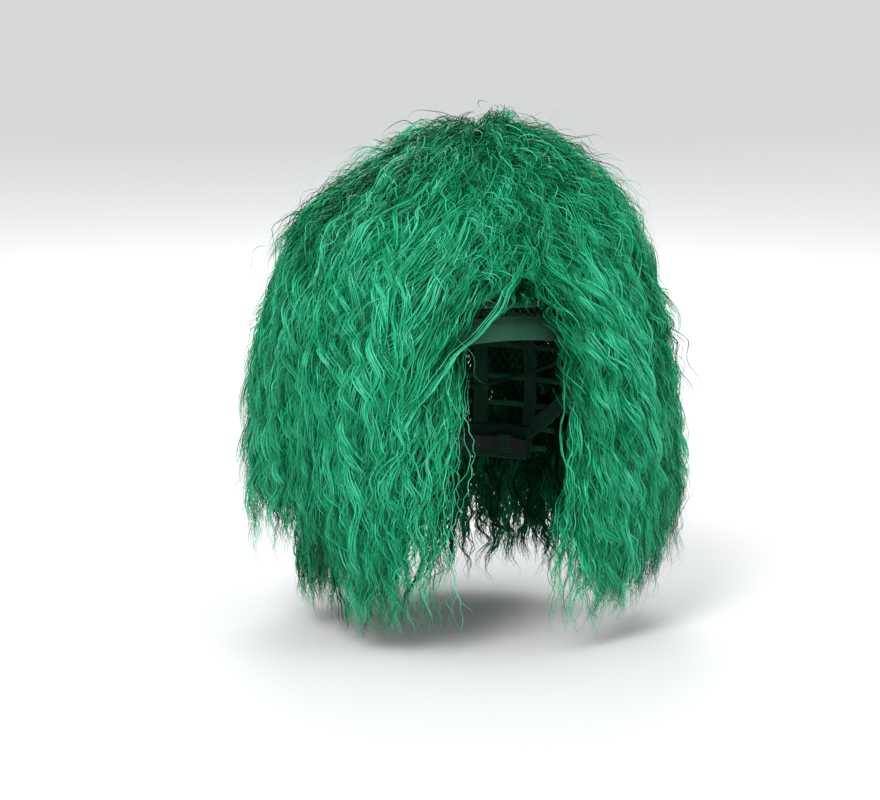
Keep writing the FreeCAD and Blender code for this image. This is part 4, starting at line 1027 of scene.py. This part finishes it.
for side, tag in ((1, "left"), (-1, "right")):
    t = np.linspace(31.9, 76.7, 80)
    C = arc_point(t, SM, side)
    N = unit(C - np.array([0, SC, ZM]))
    W = np.repeat(np.array([[0, 0, 4.5]]), len(t), 0)
    W[:3] *= np.array([0.9, 0.96, 1.0])[:, None]
    strap = tape_mesh(C, N, W, 0.95, 6, 30, 0.3, 12)
    ec = arc_point(np.array([30.0]), SM, side)[0]
    tan = unit(arc_point(np.array([31.5]), SM, side)[0] - ec)
    nor = np.array([ec[0], ec[1] - SC, 0.0]) / SM
    th = np.linspace(D(-150), D(150), 34)
    E = ec - tan * (1.27 * np.cos(th))[:, None] + nor * (1.27 * np.sin(th))[:, None]
    E = np.concatenate([[ec + tan * 2.6 - nor * 0.28], [ec + tan * 1.7 - nor * 0.42], E,
                        [ec + tan * 1.7 + nor * 0.42], [ec + tan * 2.6 + nor * 0.28]])
    ET = unit(np.gradient(E, axis=0))
    EN = np.cross(ET, np.array([0, 0, 1.0]))
    EW = np.repeat(np.array([[0, 0, 3.3]]), len(E), 0)
    eye = tape_mesh(E, EN, EW, 0.55, 4, 20, 0.3, 10)
    finish_piece("strap_elastic_" + tag, *merge(strap, eye), M_STRAP, ["size_strap_" + tag], "strap_" + tag, "elastic_band")
    box = []
    for dz0 in (-3.2, 3.2):
        for k in range(4):
            tt = np.linspace(32.6 + k * 1.5, 33.7 + k * 1.5, 4)
            for lift in (0.52, -0.52):
                q = arc_point(tt, SM + lift, side) + np.array([0, 0, dz0])
                box.append(q)
    for lift in (0.52, -0.52):
        for t_at in (32.6, 38.2):
            for k in range(3):
                zz = np.linspace(-3.0 + k * 2.1, -1.4 + k * 2.1, 3)
                q = np.repeat(arc_point(np.array([t_at]), SM + lift, side), 3, 0) + np.stack([0 * zz, 0 * zz, zz], -1)
                box.append(q)
        q = arc_point(np.linspace(32.8, 38.0, 9), SM + lift, side) + np.stack([np.zeros(9), np.zeros(9), np.linspace(-3, 3, 9)], -1)
        box.append(q)
        q = arc_point(np.linspace(32.8, 38.0, 9), SM + lift, side) + np.stack([np.zeros(9), np.zeros(9), np.linspace(3, -3, 9)], -1)
        box.append(q)
    finish_piece("strap_stitching_" + tag, *tubes_mesh(box, 0.18, 5), M_WHITE_THREAD, None, "strap_" + tag, "sewing_thread")

    # sleeve: a folded cloth channel the strap slides through
    ts = np.linspace(53.05, 62.95, 26)
    sec_o, sec_i = [], []
    for k in range(40):
        a = 2 * math.pi * k / 40
        cx, cz = math.cos(a), math.sin(a)
        ex = lambda v, q: math.copysign(abs(v) ** q, v)
        sec_o.append((ex(cx, 0.35), ex(cz, 0.35)))
        sec_i.append((ex(cx, 0.3), ex(cz, 0.3)))
    so, si = np.array(sec_o), np.array(sec_i)
    rings = []
    for j, tj in enumerate(ts):
        base = arc_point(np.array([tj]), 1.0, side)[0] - np.array([0, SC, ZM])
        rad = np.array([base[0], base[1], 0.0])
        puck = 1 + 0.05 * math.sin(j * 0.9)
        end = 0.35 * (abs(j - 12.5) / 12.5) ** 6
        co = np.array([0, SC, ZM]) + rad * 59.5
        po = co + rad * (so[:, :1] * (2.72 - end) * puck) + np.array([0, 0, 1.0]) * so[:, 1:] * (6.3 - end)
        ci = np.array([0, SC, ZM]) + rad * SM
        pi_ = ci + rad * (si[:, :1] * 0.9) + np.array([0, 0, 1.0]) * si[:, 1:] * 5.1
        rings.append((po, pi_))
    V, uv = [], []
    for j, (po, pi_) in enumerate(rings):
        V.append(po)
        uv.append(np.stack([np.full(40, j * 0.42), np.arange(40) * 0.9], -1))
    for j, (po, pi_) in enumerate(rings):
        V.append(pi_)
        uv.append(np.stack([np.full(40, j * 0.42), np.arange(40) * 0.7], -1))
    V, uv = np.concatenate(V), np.concatenate(uv)
    nr = len(rings)
    q = []
    for j in range(nr - 1):
        for k in range(40):
            k2 = (k + 1) % 40
            q.append((j * 40 + k, j * 40 + k2, (j + 1) * 40 + k2, (j + 1) * 40 + k))
            o = nr * 40
            q.append((o + j * 40 + k2, o + j * 40 + k, o + (j + 1) * 40 + k, o + (j + 1) * 40 + k2))
    for j in (0, nr - 1):
        for k in range(40):
            k2 = (k + 1) % 40
            f = (j * 40 + k2, j * 40 + k, nr * 40 + j * 40 + k, nr * 40 + j * 40 + k2)
            q.append(f if j == 0 else f[::-1])
    finish_piece("strap_sleeve_cloth_" + tag, V, np.array(q), uv, M_RIBBON, ["strap_sleeve_" + tag], "wig", "webbing")
    st = []
    for dz0 in (-5.7, 5.7):
        for k in range(5):
            st.append(arc_point(np.linspace(53.7 + k * 1.9, 55.0 + k * 1.9, 4), 57.0, side) + np.array([0, 0, dz0]))
    finish_piece("strap_sleeve_stitching_" + tag, *tubes_mesh(st, 0.22, 5), M_THREAD, None, "wig", "sewing_thread")

    # ladder: webbing tape with three raised loops and a bar tack beside each
    t = np.linspace(6.55, 26.45, 60)
    C = arc_point(t, 62.1, side)
    N = unit(C - np.array([0, SC, ZM]))
    W = np.repeat(np.array([[0, 0, 6.0]]), len(t), 0)
    geos = [tape_mesh(C, N, W, 0.58, 7, 36, 0.35, 14)]
    tk = []
    for tl in (11.0, 17.0, 23.0):
        c0 = arc_point(np.array([tl]), 1.0, side)[0] - np.array([0, SC, ZM])
        rad = np.array([c0[0], c0[1], 0.0])
        tg = np.array([-rad[1], rad[0], 0.0])
        prof = [(61.85, 5.5), (61.2, 5.35), (60.78, 4.9), (60.72, 4.0), (60.72, 2.0), (60.72, 0.0), (60.72, -2.0),
                (60.72, -4.0), (60.78, -4.9), (61.2, -5.35), (61.85, -5.5)]
        Cp = np.array([np.array([0, SC, ZM]) + rad * r + np.array([0, 0, z]) for r, z in prof])
        Tp = unit(np.gradient(Cp, axis=0))
        Np = np.cross(Tp, tg)
        geos.append(tape_mesh(Cp, Np, np.repeat((tg * 1.45)[None], len(prof), 0), 0.4, 2, 12, 0.3, 8))
        for z in (5.2, -5.2):
            for k in range(6):
                u = -1.3 + 2.6 * k / 5
                base = np.array([0, SC, ZM]) + rad * 61.7 + tg * u + np.array([0, 0, z])
                tk.append(np.stack([base + np.array([0, 0, -0.35]), base - rad * 0.12, base + np.array([0, 0, 0.35])]))
    finish_piece("ladder_webbing_" + tag, *merge(*geos), M_TAPE, ["loop_ladder_" + tag], "wig", "webbing")
    finish_piece("ladder_tacks_" + tag, *tubes_mesh(tk, 0.2, 5), M_WHITE_THREAD, None, "wig", "sewing_thread")

    # hook: the moulded piece itself, edges eased
    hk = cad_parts["strap_hook_" + tag]
    hk.data.materials.clear()
    hk.data.materials.append(M_HOOK)
    bv = hk.modifiers.new("eased_edges", "BEVEL")
    bv.width, bv.segments, bv.limit_method, bv.angle_limit = 0.00014, 2, "ANGLE", D(35)

    # ear tab: two layers of lace with a corded edge and a channel for the spring stay
    ca, sa = math.cos(D(4.0)), math.sin(D(4.0))
    ex = np.array([ca, 0, -side * sa])          # outward normal of the tab
    ez = np.array([side * sa, 0, ca])
    org = np.array([side * 76.9, -20.0, -2.5])
    outline = [(-11.0, 0.0), (-10.6, -6.0), (-9.9, -12.0), (-9.2, -17.0), (-8.0, -22.5), (-6.6, -27.0), (-4.9, -30.2),
               (-2.6, -32.3), (0.0, -32.9), (2.6, -32.3), (4.9, -30.2), (6.6, -27.0), (8.0, -22.5), (9.2, -17.0),
               (9.9, -12.0), (10.6, -6.0), (11.0, 0.0)]
    half_w = lambda z: np.interp(-z, [0, 6, 12, 17, 22.5, 27, 30.2, 32.3, 32.9], [10.7, 10.3, 9.6, 8.9, 7.7, 6.3, 4.6, 2.3, 0.2])
    zz = -np.concatenate([np.linspace(0.1, 30, 40), np.linspace(30.6, 32.85, 8)])
    C = np.array([org + ez * z for z in zz])
    N = np.repeat((ex * side)[None], len(zz), 0)
    W = np.array([[0, 1.0, 0]]) * half_w(zz)[:, None]
    body_mesh = tape_mesh(C, N, W, 0.72, 0, 24, 0, 14)
    cord = [np.array([org + np.array([0, 1.0, 0]) * y * 0.97 + ez * z * 0.985 for y, z in outline])]
    lace_ob = finish_piece("ear_tab_lace_" + tag, *body_mesh, M_LACE, ["ear_tab_" + tag], "tab_" + tag, "tab_lace")
    cord_ob = finish_piece("ear_tab_edge_cord_" + tag, *tubes_mesh(cord, 0.5, 8), M_LACE, None, "tab_" + tag, "tab_lace")
    lace = []
    for k in range(9):                            # scallops of lace thread over the face
        z = -3.0 - k * 3.1
        hw = half_w(z) * 0.82
        for off_n in (0.40,):
            yy = np.linspace(-hw, hw, 26)
            lace.append(np.array([org + ez * (z + 0.9 * abs(math.sin(y * 0.9 + k * 1.57))) + np.array([0, y, 0]) + ex * side * off_n
                                  for y in yy]))
    for y0 in (-2.2, 2.2):                        # channel seams beside the stay
        for k in range(11):
            z = -4.0 - k * 2.35
            lace.append(np.array([org + ez * (z - dz1) + np.array([0, y0, 0]) - ex * side * 0.42 for dz1 in (0, 0.7, 1.5)]))
    finish_piece("ear_tab_threads_" + tag, *tubes_mesh(lace, 0.2, 5), M_THREAD, None, "tab_" + tag, "sewing_thread")
    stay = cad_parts["ear_stay_" + tag]
    stay.data.materials.clear()
    stay.data.materials.append(M_STEEL)
    bv = stay.modifiers.new("eased_edges", "BEVEL")
    bv.width, bv.segments, bv.limit_method, bv.angle_limit = 0.00018, 3, "ANGLE", D(30)

# care label: blank satin flag, sewn along its top edge and curling a little
ly = -head_radius(0.0, np.array([-29.0]), np.array([math.pi]))[0] * math.cos(math.pi) - 3.4
nu = 26
xx = np.linspace(-12, 12, nu)
C = np.stack([xx, np.full(nu, ly + 0.2 + 8 * math.sin(D(14)) * 1.0), np.full(nu, -29.5 + 8 * math.cos(D(14)))], -1)
C[:, 1] += 0.35 * np.cos(xx / 12 * math.pi * 0.5) - 0.3
Wl = np.repeat(np.array([[0, math.sin(D(14)), math.cos(D(14))]]) * 7.95, nu, 0)
Nl = np.repeat(np.array([[0, -math.cos(D(14)), math.sin(D(14))]]), nu, 0)
label = tape_mesh(C, Nl, Wl, 0.34, 0, 18, 0, 30)
label_ob = finish_piece("care_label_satin", *label, M_SATIN, ["care_label"], "wig", "label_satin")
st = stitch_lines(C, Nl, Wl, (0.86,), 0.2, 2.0, 1.3)
finish_piece("care_label_stitching", *tubes_mesh(st, 0.2, 5), M_THREAD, None, "wig", "sewing_thread")

# bar tacks: dense zigzags of thread where the ribbons are caught down
tk = []
for azd in (180.0, 154.0, 206.0, 130.0, 230.0):
    a = D(azd)
    p1, p2 = on_head(2.3, np.array([0.0]), np.array([a - 0.01]))[0], on_head(2.3, np.array([0.0]), np.array([a + 0.01]))[0]
    tdir = unit(p2 - p1)
    for z in (-47.5, 31.0):
        off = 3.05 if z > -30 else 2.1
        r = head_radius(off, np.array([z]), np.array([a]))[0] + 0.62
        d0 = np.array([math.sin(a), -math.cos(a), 0.0])
        n0 = np.cross(tdir, np.array([0, 0, 1.0]))
        n0 = n0 * np.sign(n0 @ d0)
        c0 = d0 * r + np.array([0, 0, z])
        kk = np.arange(29)
        sg = np.where(kk % 2, 1.0, -1.0)
        tk.append(c0 + tdir * ((kk / 28 - 0.5) * 8.6)[:, None] + np.array([0, 0, 0.62]) * sg[:, None] - n0 * 0.05)
        tk.append(np.stack([c0 + tdir * u - n0 * 0.1 + np.array([0, 0, 0.25 * math.sin(u * 3)]) for u in np.linspace(-4.4, 4.4, 12)]))
finish_piece("ribbon_bar_tacks", *tubes_mesh(tk, 0.27, 6), M_THREAD, ["bar_tacks"], "wig", "sewing_thread")


# ------------------------------------------------------------------ camera, floor, light
def aim(ob, target):
    d = Vector(target) - ob.location
    ob.rotation_mode = "QUATERNION"
    ob.rotation_quaternion = d.to_track_quat("-Z", "Y")


cam_data = bpy.data.cameras.new("camera")
cam = bpy.data.objects.new("camera", cam_data)
bpy.context.collection.objects.link(cam)
bpy.context.scene.camera = cam
AZ, EL, DIST = math.radians(-20), math.radians(7), 1.75
centre = Vector((0.0, 0.0, 0.019))
cam.location = centre + Vector((math.sin(AZ) * math.cos(EL), -math.cos(AZ) * math.cos(EL), math.sin(EL))) * DIST
aim(cam, centre)
cam_data.sensor_width = 36
cam_data.lens = 36 * DIST / (880 * 0.00065)      # about 0.65 mm for each picture element at the wig
cam_data.shift_x = -26 / 880
cam_data.shift_y = -32 / 880
cam_data.clip_start, cam_data.clip_end = 0.05, 60

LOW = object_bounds()[0].z
FLOOR = LOW - 0.001


def floor_object():
    """A pale seamless stage: a flat round floor that rises in a wide curve all the way round."""
    prof = [(0.0005, 0.0), (0.3, 0.0), (0.8, 0.0), (1.5, 0.0), (2.2, 0.0), (3.0, 0.0)]
    for k in range(1, 25):
        a = math.pi / 2 * k / 24
        prof.append((3.0 + 3.2 * math.sin(a), 2.4 * (1 - math.cos(a))))
    nx = 96
    verts = [(r * math.cos(2 * math.pi * i / nx) * 1000, r * math.sin(2 * math.pi * i / nx) * 1000, (FLOOR + z) * 1000)
             for r, z in prof for i in range(nx)]
    quads = [(j * nx + i, (j + 1) * nx + i, (j + 1) * nx + (i + 1) % nx, j * nx + (i + 1) % nx)
             for j in range(len(prof) - 1) for i in range(nx)]
    m, nt, b = principled("studio_floor")
    b.inputs["Base Color"].default_value = (0.80, 0.80, 0.805, 1)
    b.inputs["Roughness"].default_value = 0.75
    b.inputs["Specular IOR Level"].default_value = 0.2
    # the stage is seen from above only: from below it lets the inside of the cap show
    geo, clear, mix = nt.nodes.new("ShaderNodeNewGeometry"), nt.nodes.new("ShaderNodeBsdfTransparent"), nt.nodes.new("ShaderNodeMixShader")
    out = [x for x in nt.nodes if x.type == "OUTPUT_MATERIAL"][0]
    nt.links.new(geo.outputs["Backfacing"], mix.inputs[0])
    nt.links.new(b.outputs[0], mix.inputs[1])
    nt.links.new(clear.outputs[0], mix.inputs[2])
    nt.links.new(mix.outputs[0], out.inputs["Surface"])
    ob = mesh_object("studio_floor", verts, quads, None, [m])
    ob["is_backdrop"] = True
    return ob


floor_object()


def area(name, loc, target, size_m, power, colour=(1, 1, 1)):
    d = bpy.data.lights.new(name, "AREA")
    d.shape = "DISK"
    d.size = size_m
    d.energy = power
    d.color = colour
    o = bpy.data.objects.new(name, d)
    o.location = loc
    bpy.context.collection.objects.link(o)
    aim(o, target)
    return o


area("key", (-1.7, -2.0, 2.3), (0, 0, 0.02), 1.3, 82)
area("fill", (2.4, -1.8, 0.9), (0, 0, 0), 2.0, 22)
area("back", (0.8, 2.6, 2.0), (0, 0, 0.05), 1.6, 45)
area("low_front", (0.2, -2.6, 0.2), (0, 0, -0.02), 1.6, 10)

world = bpy.data.worlds.new("studio")
bpy.context.scene.world = world
world.use_nodes = True
bg = world.node_tree.nodes["Background"]
bg.inputs["Color"].default_value = (0.93, 0.94, 0.95, 1)
bg.inputs["Strength"].default_value = 0.8
bpy.context.scene.view_settings.view_transform = "Standard"

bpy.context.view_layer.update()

tri = sum(len(o.data.polygons) * 2 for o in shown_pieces() if o.type == "MESH")
print("triangles about", tri)
